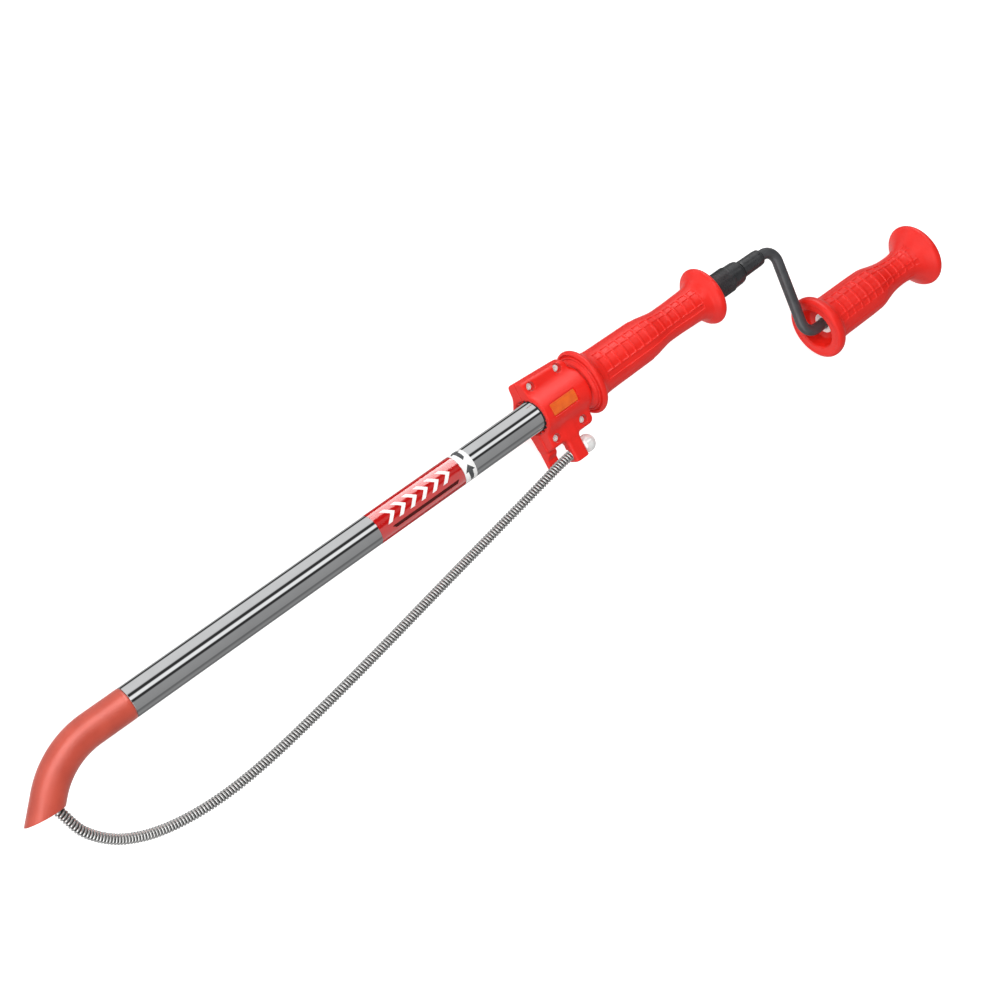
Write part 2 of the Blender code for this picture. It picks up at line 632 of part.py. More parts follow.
def make_socket(parts, crank):
    """The smaller black socket that holds the crank rod, with a spigot into the coupling."""
    front, rear = SOCKET_X
    bore = ROD_RADIUS + CLEARANCE
    floor = ROD_START_X - CLEARANCE
    spigot = 0.0080
    outline = [(rear, bore), (rear, SOCKET_RADIUS - 0.0024), (rear - 0.0014, SOCKET_RADIUS - 0.0010),
               (rear - 0.0050, SOCKET_RADIUS - 0.0005), (front, SOCKET_RADIUS), (front, spigot),
               (front - 0.0046, spigot), (front - 0.0046, 0.0025), (floor, 0.0025), (floor, bore)]
    turned("crank_socket", outline, parts, "black_steel", crank)


# ---- crank grip ---------------------------------------------------------------------
def crank_grip_outline():
    """(x, radius) of the crank grip: rear flare, narrow part, thick part and open front flange."""
    front, rear = CRANK_GRIP_X
    flange = CRANK_FLANGE_RADIUS
    plug, seat, bore = 0.0130, 0.0102, 0.0074
    floor = GRIP_FLOOR_X
    return [(rear, plug), (rear, flange - 0.0044), (rear - 0.0014, flange - 0.0012),
            (rear - 0.0041, flange), (rear - 0.0070, flange - 0.0010), (rear - 0.0100, flange - 0.0045),
            (rear - 0.0150, 0.0262), (rear - 0.0215, 0.0210), (rear - 0.0300, 0.0179), (0.5270, 0.0172),
            (0.5130, 0.0181), (0.5010, 0.0206), (0.4890, 0.0236), (0.4780, 0.0243), (0.4480, 0.0246),
            (0.4240, 0.0250), (0.4180, 0.0262), (0.4135, 0.0290), (0.4110, 0.0325),
            (0.4085, flange - 0.0012), (0.4043, flange - 0.0003), (0.4008, flange - 0.0012),
            (front, flange - 0.0040), (front, 0.0240), (0.4005, 0.0224), (0.4060, 0.0208),
            (0.4120, 0.0180), (floor, 0.0140), (floor, seat), (floor + 0.0130, seat),
            (floor + 0.0130, bore), (0.5230, bore), (0.5230, seat), (0.5600, seat), (0.5600, plug)]


def make_crank_grip(parts, grip):
    """The grip that spins freely on the rod, its two bushes and its end plug."""
    side = CRANK_THROW
    turned("crank_grip", crank_grip_outline(), parts, "red_plastic", grip, side, 32)
    bore = ROD_RADIUS + RUNNING_GAP
    outer = 0.0102 - CLEARANCE
    ring("grip_bush_front", (GRIP_FLOOR_X + 0.0002, GRIP_FLOOR_X + 0.0127), outer, bore, parts, "nylon",
         grip, side)
    ring("grip_bush_rear", (0.5233, 0.5400), outer, bore, parts, "nylon", grip, side)
    rod("grip_end_plug", (0.5603, 0.5681), 0.0127, parts, "red_plastic", grip, side, 24)


# ---- cable --------------------------------------------------------------------------
def make_cable(parts):
    """The cable's bent stretch in the elbow, and its free loop."""
    route = [Vector((x, AXIS_Y - side, z)) for x, side, z in CABLE_ROUTE]
    leaving = (route[1] - route[0]).normalized()
    bend = elbow_path(CABLE_CORE_X[0] - CLEARANCE, 0.0)
    centred = [p for p in bend if p.x > CENTRED_UNTIL_X]
    approach = [at(*place) for place in ELBOW_ROUTE]
    approach += [route[0] - leaving * 0.0045, route[0] - leaving * CLEARANCE]
    bar_along("cable_in_elbow", smooth_path(centred + approach, 0.012), CABLE_RADIUS, parts,
              "cable_steel")
    bar_along("cable_loop", smooth_path(route, 0.022), CABLE_RADIUS, parts, "cable_steel")


def make_bulb(parts):
    """The steel bulb swaged on the cable's end, just behind the hook finger."""
    neck = CABLE_ROUTE[-1][0] + 2 * CLEARANCE
    outline = [(BULB_X + BULB_RADIUS, 0.0), (BULB_X + 0.0084, 0.0042), (BULB_X + 0.0062, 0.0070),
               (BULB_X + 0.0030, 0.0089), (BULB_X - 0.0006, BULB_RADIUS), (BULB_X - 0.0038, 0.0085),
               (neck, 0.0066), (neck, 0.0)]
    turned("cable_bulb", outline, parts, "zinc_steel", side=HOOK_SIDE)


def main():
    for old in list(bpy.data.objects):
        bpy.data.objects.remove(old)
    parts = bpy.data.collections.new("toilet_auger")
    cutters = bpy.data.collections.new("cutters")
    for collection in (parts, cutters):
        bpy.context.scene.collection.children.link(collection)
    handle = add_object("handle_slide_axis", None, parts)
    crank = add_object("crank_axis", None, parts)
    grip = add_object("crank_grip_axis", None, parts)
    for empty, place in ((handle, at(FOREGRIP_X[0])), (crank, at(COUPLING_X[0])),
                         (grip, at(CRANK_GRIP_X[0], CRANK_THROW))):
        empty.location = place
    bpy.context.view_layer.update()
    make_guide(parts, cutters)
    make_housing(parts, cutters)
    make_slide(parts, cutters, handle)
    make_drive(parts, cutters, crank)
    make_crank_grip(parts, grip)
    make_cable(parts)


main()
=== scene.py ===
"""Looks of a hand-cranked toilet auger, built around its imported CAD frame."""

import json
import math

import bmesh
import bpy
import numpy as np
from mathutils import Matrix, Vector

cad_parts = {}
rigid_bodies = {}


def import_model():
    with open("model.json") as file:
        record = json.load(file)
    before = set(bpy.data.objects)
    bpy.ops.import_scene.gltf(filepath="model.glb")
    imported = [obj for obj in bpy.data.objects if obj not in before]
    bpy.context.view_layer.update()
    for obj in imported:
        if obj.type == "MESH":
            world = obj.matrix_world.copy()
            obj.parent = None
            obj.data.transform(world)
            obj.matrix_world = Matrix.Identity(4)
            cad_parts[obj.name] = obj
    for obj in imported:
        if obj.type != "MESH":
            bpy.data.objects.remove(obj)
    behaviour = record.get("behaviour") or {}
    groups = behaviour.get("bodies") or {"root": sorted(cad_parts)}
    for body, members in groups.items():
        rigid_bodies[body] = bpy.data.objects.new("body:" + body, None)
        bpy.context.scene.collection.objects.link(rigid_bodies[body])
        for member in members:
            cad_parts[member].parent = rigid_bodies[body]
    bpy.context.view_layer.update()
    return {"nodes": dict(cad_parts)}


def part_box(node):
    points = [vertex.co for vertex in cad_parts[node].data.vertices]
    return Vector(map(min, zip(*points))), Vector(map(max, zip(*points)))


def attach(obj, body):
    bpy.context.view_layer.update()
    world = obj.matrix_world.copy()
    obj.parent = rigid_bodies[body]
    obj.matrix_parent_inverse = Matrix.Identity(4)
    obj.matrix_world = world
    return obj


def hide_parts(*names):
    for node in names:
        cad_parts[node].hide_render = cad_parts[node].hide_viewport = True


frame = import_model()

TUBE_LOW, TUBE_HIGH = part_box("guide_tube")
AXIS_Y = (TUBE_LOW.y + TUBE_HIGH.y) / 2
AXIS_Z = (TUBE_LOW.z + TUBE_HIGH.z) / 2
CRANK_THROW = 0.0985
HOUSING_ROLL = math.radians(7.4)
CABLE_RADIUS = 0.0052
CABLE_PITCH, WIRE_RADIUS = 0.00325, 0.00108
TUBE_RADIUS = 0.015875
FILM, INK = 0.00012, 0.00005        # thickness of the label's film and of the print on it
ROD_RADIUS, ROD_BEND = 0.0060, 0.0130
POCKET_DEPTH, BAND_HEIGHT = 0.00095, 0.00045
SEAM = 0.00012                      # half the gap between the collar's halves
SCREW_SEAT = 0.0047                 # height of the screws' seats, and radius of their bores
BADGE_X, BADGE_FLOOR = 0.08175, 0.0216

# Route of the free cable, from the guard's mouth to the bulb: (x, side, height over the floor).
CABLE_ROUTE = [
    (-0.5363, 0.0424, 0.0358), (-0.5349, 0.0476, 0.0357), (-0.5285, 0.0692, 0.0336),
    (-0.5099, 0.0921, 0.0256), (-0.4859, 0.1078, 0.0166), (-0.4587, 0.1181, 0.0090),
    (-0.4294, 0.1238, 0.0056), (-0.3994, 0.1259, 0.0054), (-0.3693, 0.1254, 0.0054),
    (-0.3393, 0.1232, 0.0054), (-0.3094, 0.1198, 0.0054), (-0.2497, 0.1116, 0.0054),
    (-0.1902, 0.1025, 0.0054), (-0.1308, 0.0928, 0.0054), (-0.0900, 0.0862, 0.0054),
    (-0.0610, 0.0815, 0.0060), (-0.0360, 0.0768, 0.0088), (-0.0100, 0.0711, 0.0145),
    (0.0160, 0.0652, 0.0212), (0.0400, 0.0598, 0.0264), (0.0600, 0.0561, 0.0284),
    (0.0770, 0.0543, 0.0288), (0.0886, 0.0542, 0.0288),
]
# The cable inside the elbow, up to the mouth: (x, side) at the tool's own height.
ELBOW_ROUTE = [(-0.4800, 0.0003), (-0.4971, -0.0005), (-0.5212, 0.0071), (-0.5297, 0.0124),
               (-0.5362, 0.0211), (-0.5381, 0.0320)]


# ---- camera ---------------------------------------------------------------------------
def make_camera():
    """The camera, high over the guard's end and looking along the tool."""
    back = Vector((-0.42497, 0.16965, 0.8892)).normalized()
    right = Vector((0.73337, -0.51128, 0.4481))
    right = (right - back * right.dot(back)).normalized()
    up = back.cross(right)
    place = Vector((-0.8470, AXIS_Y + 0.2809, AXIS_Z + 1.7252))
    data = bpy.data.cameras.new("camera")
    data.lens, data.sensor_width = 72.0, 36.0
    data.clip_start, data.clip_end = 0.05, 50.0
    camera = bpy.data.objects.new("camera", data)
    bpy.context.scene.collection.objects.link(camera)
    turn = Matrix((right, up, back)).transposed().to_4x4()
    camera.matrix_world = Matrix.Translation(place) @ turn
    bpy.context.scene.camera = camera


# ---- mesh helpers ---------------------------------------------------------------------
def add_mesh(name, verts, faces, material, sharp=38.0):
    """A smooth-shaded mesh object; edges over the sharp angle stay crisp."""
    mesh = bpy.data.meshes.new(name)
    mesh.from_pydata([tuple(v) for v in verts], [], [tuple(f) for f in faces])
    mesh.materials.append(material)
    mesh.polygons.foreach_set("use_smooth", [True] * len(mesh.polygons))
    mesh.validate()
    mesh.update()
    if sharp is not None:
        mesh.set_sharp_from_angle(angle=math.radians(sharp))
    made = bpy.data.objects.new(name, mesh)
    bpy.context.scene.collection.objects.link(made)
    return made


def grid_faces(rows, columns, wrap_rows, wrap_columns):
    """Quads over a grid of points, wrapped round in either direction."""
    i = np.arange(rows if wrap_rows else rows - 1)
    j = np.arange(columns if wrap_columns else columns - 1)
    i, j = np.meshgrid(i, j, indexing="ij")
    i, j = i.ravel(), j.ravel()
    k, l = (i + 1) % rows, (j + 1) % columns
    return np.stack([i * columns + j, k * columns + j, k * columns + l, i * columns + l], 1)


def rounded(points, steps=4):
    """(x, r) points along an outline; a third number rounds that corner to the radius it gives."""
    out = []
    count = len(points)
    for n, point in enumerate(points):
        here = np.array(point[:2], float)
        radius = point[2] if len(point) > 2 else 0.0
        if radius <= 0:
            out.append(here)
            continue
        before = np.array(points[(n - 1) % count][:2], float) - here
        after = np.array(points[(n + 1) % count][:2], float) - here
        reach_before, reach_after = np.linalg.norm(before), np.linalg.norm(after)
        before, after = before / reach_before, after / reach_after
        half = math.acos(float(np.clip(before @ after, -1, 1))) / 2
        reach = min(radius / math.tan(half), 0.49 * reach_before, 0.49 * reach_after)
        start, end = here + before * reach, here + after * reach
        for s in range(steps + 1):
            t = s / steps
            out.append((1 - t) ** 2 * start + 2 * t * (1 - t) * here + t * t * end)
    return np.array(out)


def smooth_line(points, spacing):
    """Points about a spacing apart on the centripetal Catmull-Rom curve through the points."""
    p = np.array(points, float)
    p = np.vstack([2 * p[0] - p[1], p, 2 * p[-1] - p[-2]])
    out = []
    for a, b, c, d in zip(p, p[1:], p[2:], p[3:]):
        t1 = np.linalg.norm(b - a) ** 0.5
        t2 = t1 + np.linalg.norm(c - b) ** 0.5
        t3 = t2 + np.linalg.norm(d - c) ** 0.5
        count = max(1, round(float(np.linalg.norm(c - b)) / spacing))
        for t in t1 + (t2 - t1) * np.arange(count) / count:
            a1 = a * (t1 - t) / t1 + b * t / t1
            a2 = b * (t2 - t) / (t2 - t1) + c * (t - t1) / (t2 - t1)
            a3 = c * (t3 - t) / (t3 - t2) + d * (t - t2) / (t3 - t2)
            b1 = a1 * (t2 - t) / t2 + a2 * t / t2
            b2 = a2 * (t3 - t) / (t3 - t1) + a3 * (t - t1) / (t3 - t1)
            out.append(b1 * (t2 - t) / (t2 - t1) + b2 * (t - t1) / (t2 - t1))
    out.append(p[-2])
    return np.array(out)


def around(x, phi, radius, side=0.0):
    """World points at angles phi about the tool axis, 0 upwards and a quarter turn towards -Y."""
    x, phi, radius = np.broadcast_arrays(x, phi, radius)
    return np.stack([x, AXIS_Y - side - radius * np.sin(phi), AXIS_Z + radius * np.cos(phi)], -1)


def lathe(name, profile, material, side=0.0, segments=96, angles=None, relief=None, closed=True,
          sharp=38.0):
    """A turned piece. The profile's (x, r) points run from the rear end along the outside to the
    front, and back along the bore; one that isn't closed starts and ends on the axis.
    relief(profile, phi) is added to the radius."""
    profile = np.array(profile, float)
    phi = np.arange(segments) * 2 * math.pi / segments if angles is None else np.array(angles)
    x, r = profile[:, :1], profile[:, 1:]
    radius = np.repeat(r, len(phi), 1)
    if relief is not None:
        radius = radius + relief(profile, phi)
    verts = around(np.repeat(x, len(phi), 1), phi[None, :], radius, side).reshape(-1, 3)
    faces = grid_faces(len(profile), len(phi), closed, True)
    if closed:
        return add_mesh(name, verts, faces, material, sharp)
    n, m = len(profile), len(phi)
    keep, fans = np.ones(len(faces), bool), []
    for row, near, flip in ((0, 1, False), (n - 1, n - 2, True)):
        centre = len(verts)
        verts = np.vstack([verts, around(profile[row, 0], 0.0, 0.0, side)[None]])
        keep &= ~(faces // m == row).any(1)
        for j in range(m):
            a, b = near * m + j, near * m + (j + 1) % m
            fans.append((centre, b, a) if flip else (centre, a, b))
    quads = [tuple(f) for f in faces[keep]]
    return drop_loose(add_mesh(name, verts, quads + fans, material, sharp))


def drop_loose(piece):
    """Removes points that no face uses."""
    cage = bmesh.new()
    cage.from_mesh(piece.data)
    for v in [v for v in cage.verts if not v.link_faces]:
        cage.verts.remove(v)
    cage.to_mesh(piece.data)
    cage.free()
    return piece


def frames(path):
    """Arc lengths and two crosswise directions carried along a path without twist."""
    step = np.diff(path, axis=0)
    length = np.concatenate([[0], np.cumsum(np.linalg.norm(step, axis=1))])
    tangent = np.gradient(path, length, axis=0)
    tangent /= np.linalg.norm(tangent, axis=1)[:, None]
    first = np.zeros_like(path)
    v = np.array([0.0, 0.0, 1.0])
    for n, t in enumerate(tangent):
        v = v - t * (v @ t)
        v = v / np.linalg.norm(v)
        first[n] = v
    return length, first, np.cross(tangent, first)


def sweep(name, path, radius, material, segments):
    """A round bar with closed ends along a path."""
    _, first, second = frames(path)
    phi = np.arange(segments) * 2 * math.pi / segments
    ring = first[:, None] * np.cos(phi)[None, :, None] + second[:, None] * np.sin(phi)[None, :, None]
    verts = (path[:, None] + ring * radius).reshape(-1, 3)
    faces = [tuple(f[::-1]) for f in grid_faces(len(path), segments, False, True)]
    faces.append(tuple(range(segments))[::-1])
    faces.append(tuple((len(path) - 1) * segments + j for j in range(segments)))
    return add_mesh(name, verts, faces, material)


def wound(name, path, pitch, coil, wire, material, steps=18, sides=8):
    """A wire wound round a path, turn after turn, with closed ends."""
    length, first, second = frames(path)
    count = int(length[-1] / pitch * steps)
    s = np.linspace(0.0, length[-1], count + 1)

    def pick(values):
        return np.stack([np.interp(s, length, values[:, k]) for k in range(3)], 1)

    centre, n1, n2 = pick(path), pick(first), pick(second)
    n1 /= np.linalg.norm(n1, axis=1)[:, None]
    n2 /= np.linalg.norm(n2, axis=1)[:, None]
    angle = 2 * math.pi * s / pitch
    out = n1 * np.cos(angle)[:, None] + n2 * np.sin(angle)[:, None]
    line = centre + out * coil
    along = np.gradient(line, axis=0)
    along /= np.linalg.norm(along, axis=1)[:, None]
    cross = np.cross(along, out)
    cross /= np.linalg.norm(cross, axis=1)[:, None]
    out = np.cross(cross, along)
    phi = np.arange(sides) * 2 * math.pi / sides
    ring = out[:, None] * np.cos(phi)[None, :, None] + cross[:, None] * np.sin(phi)[None, :, None]
    verts = (line[:, None] + wire * ring).reshape(-1, 3)
    faces = [tuple(f) for f in grid_faces(len(line), sides, False, True)]
    faces.append(tuple(range(sides)))
    faces.append(tuple((len(line) - 1) * sides + j for j in range(sides))[::-1])
    return add_mesh(name, verts, faces, material, None)


def patch_on_tube(name, quads, radius, material, rows=24, columns=6):
    """Thin printed shapes on the tube. Each is four (x, angle in degrees) corners, in order."""
    verts, faces = [], []
    for corners in quads:
        c = np.array(corners, float)
        u = np.linspace(0, 1, columns + 1)[:, None, None]
        v = np.linspace(0, 1, rows + 1)[None, :, None]
        flat = ((1 - u) * (1 - v) * c[0] + u * (1 - v) * c[1] + u * v * c[2] + (1 - u) * v * c[3])
        flat = flat.reshape(-1, 2)
        phi = np.radians(flat[:, 1])
        base = len(verts)
        for r in (radius + INK, radius):
            verts.extend(around(flat[:, 0], phi, r))
        count = len(flat)
        top = grid_faces(columns + 1, rows + 1, False, False)
        faces.extend(tuple(f + base) for f in top)
        faces.extend(tuple(f[::-1] + base + count) for f in top)
        rim = ([i * (rows + 1) for i in range(columns + 1)]
               + [columns * (rows + 1) + j for j in range(1, rows + 1)]
               + [i * (rows + 1) + rows for i in range(columns - 1, -1, -1)]
               + list(range(rows - 1, 0, -1)))
        for a, b in zip(rim, rim[1:] + rim[:1]):
            faces.append((base + b, base + a, base + a + count, base + b + count))
    made = add_mesh(name, verts, faces, material, 30.0)
    return recalculated(made)


def recalculated(piece):
    """Turns all faces outwards."""
    cage = bmesh.new()
    cage.from_mesh(piece.data)
    bmesh.ops.recalc_face_normals(cage, faces=cage.faces)
    cage.to_mesh(piece.data)
    cage.free()
    return piece


# ---- materials ------------------------------------------------------------------------
def add_node(nodes, kind, **values):
    """A shader node with values on its inputs; an underscore stands for a space."""
    made = nodes.new("ShaderNode" + kind)
    for socket, value in values.items():
        made.inputs[socket.replace("_", " ")].default_value = value
    return made


def surface(name, colour, other, rough, spread, grain, bump, metallic=0.0, stretch=None,
            **sockets):
    """A node material: colour varies to another by noise, roughness by a second noise, and a fine
    grain gives bump. Scales are per metre, in object coordinates."""
    made = bpy.data.materials.new(name)
    made.use_nodes = True
    nodes, links = made.node_tree.nodes, made.node_tree.links
    shader = nodes["Principled BSDF"]
    source = add_node(nodes, "TexCoord").outputs["Object"]
    if stretch:
        mapping = add_node(nodes, "Mapping", Scale=stretch)
        links.new(source, mapping.inputs["Vector"])
        source = mapping.outputs["Vector"]

    def noise(scale, detail=4.0):
        node = add_node(nodes, "TexNoise", Scale=scale, Detail=detail)
        links.new(source, node.inputs["Vector"])
        return node.outputs["Fac"]

    ramp = add_node(nodes, "ValToRGB")
    for element, position, tone in zip(ramp.color_ramp.elements, (0.35, 0.65), (colour, other)):
        element.position = position
        element.color = (*tone, 1.0)
    links.new(noise(spread), ramp.inputs["Fac"])
    links.new(ramp.outputs["Color"], shader.inputs["Base Color"])
    vary = add_node(nodes, "MapRange", From_Min=0.3, From_Max=0.7, To_Min=rough[0], To_Max=rough[1])
    links.new(noise(spread * 2.7), vary.inputs["Value"])
    links.new(vary.outputs["Result"], shader.inputs["Roughness"])
    relief = add_node(nodes, "Bump", Strength=1.0, Distance=bump)
    links.new(noise(grain, 3.0), relief.inputs["Height"])
    links.new(relief.outputs["Normal"], shader.inputs["Normal"])
    shader.inputs["Metallic"].default_value = metallic
    for socket, value in sockets.items():
        shader.inputs[socket.replace("_", " ")].default_value = value
    return made


CHROME = surface("chrome", (0.86, 0.87, 0.88), (0.80, 0.81, 0.82), (0.025, 0.05), 30, 900, 2e-7, 1.0)
STEEL = surface("ground_steel", (0.62, 0.62, 0.61), (0.50, 0.50, 0.49), (0.22, 0.34), 60, 1500, 2e-6,
                1.0, stretch=(0.15, 1.0, 1.0))
SCREW = surface("screw_zinc", (0.88, 0.86, 0.83), (0.76, 0.73, 0.69), (0.22, 0.35), 400, 2500, 3e-6,
                0.35)
WIRE = surface("spring_wire", (0.90, 0.90, 0.89), (0.80, 0.80, 0.79), (0.12, 0.20), 120, 2500, 3e-6,
               0.90)
BULB = surface("bulb_steel", (0.95, 0.95, 0.94), (0.90, 0.90, 0.89), (0.10, 0.16), 150, 2500, 2e-6,
               0.30)
# Near-black core inside the wound cable: painted shade, so the gaps between the turns read dark.
PAINTED_SHADE_CORE = surface("cable_heart", (0.010, 0.010, 0.010), (0.020, 0.020, 0.019), (0.5, 0.7), 200, 900, 1e-5)
RED = surface("red_plastic", (0.80, 0.014, 0.007), (0.74, 0.011, 0.005), (0.31, 0.37), 45, 2600, 2e-6,
              IOR=1.5)
DARK_RED = surface("red_plastic_matt", (0.80, 0.011, 0.004), (0.74, 0.009, 0.003), (0.34, 0.42), 55,
                   2200, 3e-6, IOR=1.5)
VINYL = surface("guard_vinyl", (0.52, 0.070, 0.040), (0.46, 0.058, 0.033), (0.32, 0.40), 40, 1400, 3e-6,
                Sheen_Weight=0.25, Sheen_Roughness=0.4)
LABEL = surface("label_red", (0.46, 0.004, 0.004), (0.42, 0.0035, 0.0035), (0.12, 0.16), 80, 1500, 1e-6,
                IOR=1.45)
MAROON = surface("label_maroon", (0.075, 0.004, 0.003), (0.060, 0.003, 0.002), (0.10, 0.16), 90, 1500,
                 1e-6, IOR=1.45)
WHITE_INK = surface("label_white", (0.90, 0.90, 0.89), (0.84, 0.84, 0.83), (0.14, 0.22), 90, 1500, 1e-6,
                    IOR=1.6)
GREY_INK = surface("band_grey", (0.055, 0.057, 0.060), (0.09, 0.092, 0.096), (0.22, 0.3), 120, 1500,
                   1e-6)
ORANGE = surface("badge_orange", (0.78, 0.135, 0.012), (0.70, 0.105, 0.010), (0.30, 0.42), 160, 2600,
                 1e-5)
BLACK = surface("black_oxide", (0.022, 0.023, 0.025), (0.036, 0.037, 0.040), (0.24, 0.34), 90, 1800,
                1.2e-5, IOR=1.55)
ROD_PAINT = surface("rod_paint", (0.042, 0.043, 0.047), (0.060, 0.061, 0.066), (0.30, 0.42), 80, 1600,
                    8e-6, IOR=1.6)
NYLON = surface("nylon", (0.93, 0.93, 0.91), (0.88, 0.88, 0.86), (0.32, 0.44), 120, 2000, 6e-6)
# Near-black ring in the collar's mouth: painted shade in the gaps between the ribs.
MOUTH_SHADE = surface("mouth_painted_shade", (0.012, 0.012, 0.013), (0.020, 0.020, 0.021), (0.6, 0.75), 120, 1600, 2e-5)
FLOOR = surface("floor", (0.62, 0.62, 0.62), (0.60, 0.60, 0.60), (0.8, 0.9), 1.5, 60, 1e-5,
                Emission_Color=(1.0, 1.0, 1.0, 1.0), Emission_Strength=0.80)


def finish_node(name, material):
    """Gives a CAD node that stays in view its material."""
    node = frame["nodes"][name]
    node.data.materials.clear()
    node.data.materials.append(material)


# ---- cable ----------------------------------------------------------------------------
def make_cable():
    """The wound cable: its free loop, and the stretch that comes out of the elbow, each with a
    near-black core inside as painted shade between the turns.
    """
    route = [(x, AXIS_Y - side, z) for x, side, z in CABLE_ROUTE]
    path = smooth_line(route, 0.001)
    coil = CABLE_RADIUS - WIRE_RADIUS
    core = coil * 0.93
    loop = wound("wound_cable", path, CABLE_PITCH, coil, WIRE_RADIUS, WIRE)
    # The near-black core under the coils is painted shade in the gaps between the turns.
    shade_core = sweep("cable_heart", path, core, PAINTED_SHADE_CORE, 16)
    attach(loop, "guide")
    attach(shade_core, "guide")
    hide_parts("cable_loop")
    length = float(np.linalg.norm(np.diff(path, axis=0), axis=1).sum())
    mouth = np.array(route[0])
    leaving = np.array(route[1]) - mouth
    leaving /= np.linalg.norm(leaving)
    inside = [(x, AXIS_Y - side, AXIS_Z) for x, side in ELBOW_ROUTE]
    inside += [tuple(mouth - leaving * 0.0045), tuple(mouth - leaving * 0.0002)]
    hidden = smooth_line(inside, 0.001)
    stretch = wound("wound_cable_in_elbow", hidden, CABLE_PITCH, coil, WIRE_RADIUS, WIRE)
    # The same near-black core, painted shade between the turns inside the elbow.
    inner = sweep("cable_heart_in_elbow", hidden, core, PAINTED_SHADE_CORE, 16)
    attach(stretch, "guide")
    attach(inner, "guide")
    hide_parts("cable_in_elbow")
    return loop, shade_core, path, length


def make_bulb():
    """The chromed bulb on the cable's end, behind the hook finger."""
    low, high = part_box("cable_bulb")
    side = AXIS_Y - (low.y + high.y) / 2
    centre = (low.z + high.z) / 2
    neck, far = low.x, high.x
    outline = [(far, 0.0), (far - 0.0003, 0.0027), (far - 0.0016, 0.0054), (far - 0.0040, 0.0079),
               (far - 0.0072, 0.0093), (far - 0.0104, 0.0093), (far - 0.0130, 0.0085),
               (neck + 0.0010, 0.0075), (neck, 0.0064), (neck, 0.0)]
    fine = np.vstack([smooth_line(outline[:-1], 0.0004), outline[-1:]])
    bulb = lathe("cable_end_bulb", fine, BULB, side, 64, closed=False)
    bulb.data.transform(Matrix.Translation((0.0, 0.0, centre - AXIS_Z)))
    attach(bulb, "guide")
    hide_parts("cable_bulb")
    return bulb


# ---- tube, guard and printed bands ----------------------------------------------------
def make_tube():
    """The chromed guide tube."""
    front, rear = TUBE_LOW.x, TUBE_HIGH.x
    bore = TUBE_RADIUS - 0.0014
    profile = rounded([(rear, bore, 0.0003), (rear, TUBE_RADIUS, 0.0004), (front, TUBE_RADIUS, 0.0004),
                       (front, bore, 0.0003)], 3)
    tube = lathe("chrome_tube", profile, CHROME, segments=144)
    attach(tube, "guide")
    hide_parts("guide_tube")


def make_guard():
    """The vinyl bowl guard: a bent sleeve with a slanted mouth and a rounded lip."""
    start, bend_x, bend_radius, bend = -0.4354, -0.4741, 0.0854, math.radians(46.0)
    past, slant, outer, wall = 0.0188, math.radians(38.0), 0.0159, 0.00145
    heading = np.array([-math.cos(bend), math.sin(bend)])
    inward = np.array([math.sin(bend), math.cos(bend)])
    normal = np.array([heading[0] * math.cos(slant) + heading[1] * math.sin(slant),
                       heading[1] * math.cos(slant) - heading[0] * math.sin(slant)])
    lean = float(inward @ normal) / float(heading @ normal)
    segments = 72
    phi = np.arange(segments) * 2 * math.pi / segments

    def ring(x, side, across_x, across_side, radius):
        shift = radius * np.sin(phi)
        return np.stack([x + across_x * shift, AXIS_Y - (side + across_side * shift),
                         AXIS_Z + radius * np.cos(phi)], 1)

    def straight(t, radius):
        return ring(start + (bend_x - start) * t, 0.0, 0.0, 1.0, radius)

    def curved(t, radius):
        a = bend * t
        return ring(bend_x - bend_radius * math.sin(a), bend_radius * (1 - math.cos(a)),
                    math.sin(a), math.cos(a), radius)

    def leg(t, radius, proud=0.0):
        reach = (past - radius * np.sin(phi) * lean) * t + proud
        base = curved(1.0, radius)
        return base + np.stack([heading[0] * reach, -heading[1] * reach, np.zeros(segments)], 1)

    lip, inner = wall / 2, outer - wall
    middle = outer - lip
    rows = [straight(t, outer) for t in np.linspace(0.012, 1.0, 12)[:-1]]
    rows += [curved(t, outer) for t in np.linspace(0.0, 1.0, 28)[:-1]]
    rows += [leg(t, outer) for t in np.linspace(0.0, 0.96, 12)]
    rows += [leg(1.0, middle + lip * math.cos(a), lip * (math.sin(a) - 1.0))
             for a in np.linspace(0.05, math.pi - 0.05, 7)]
    rows += [leg(t, inner) for t in np.linspace(0.96, 0.0, 6)]
    rows += [curved(t, inner) for t in np.linspace(1.0, 0.0, 14)[1:]]
    rows += [straight(t, inner) for t in (0.5, 0.0)]
    rows += [straight(0.0, outer - 0.0005)]
    verts = np.array(rows).reshape(-1, 3)
    faces = grid_faces(len(rows), segments, True, True)
    guard = recalculated(add_mesh("vinyl_guard", verts, faces, VINYL, 50.0))
    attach(guard, "guide")
    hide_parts("bowl_guard")


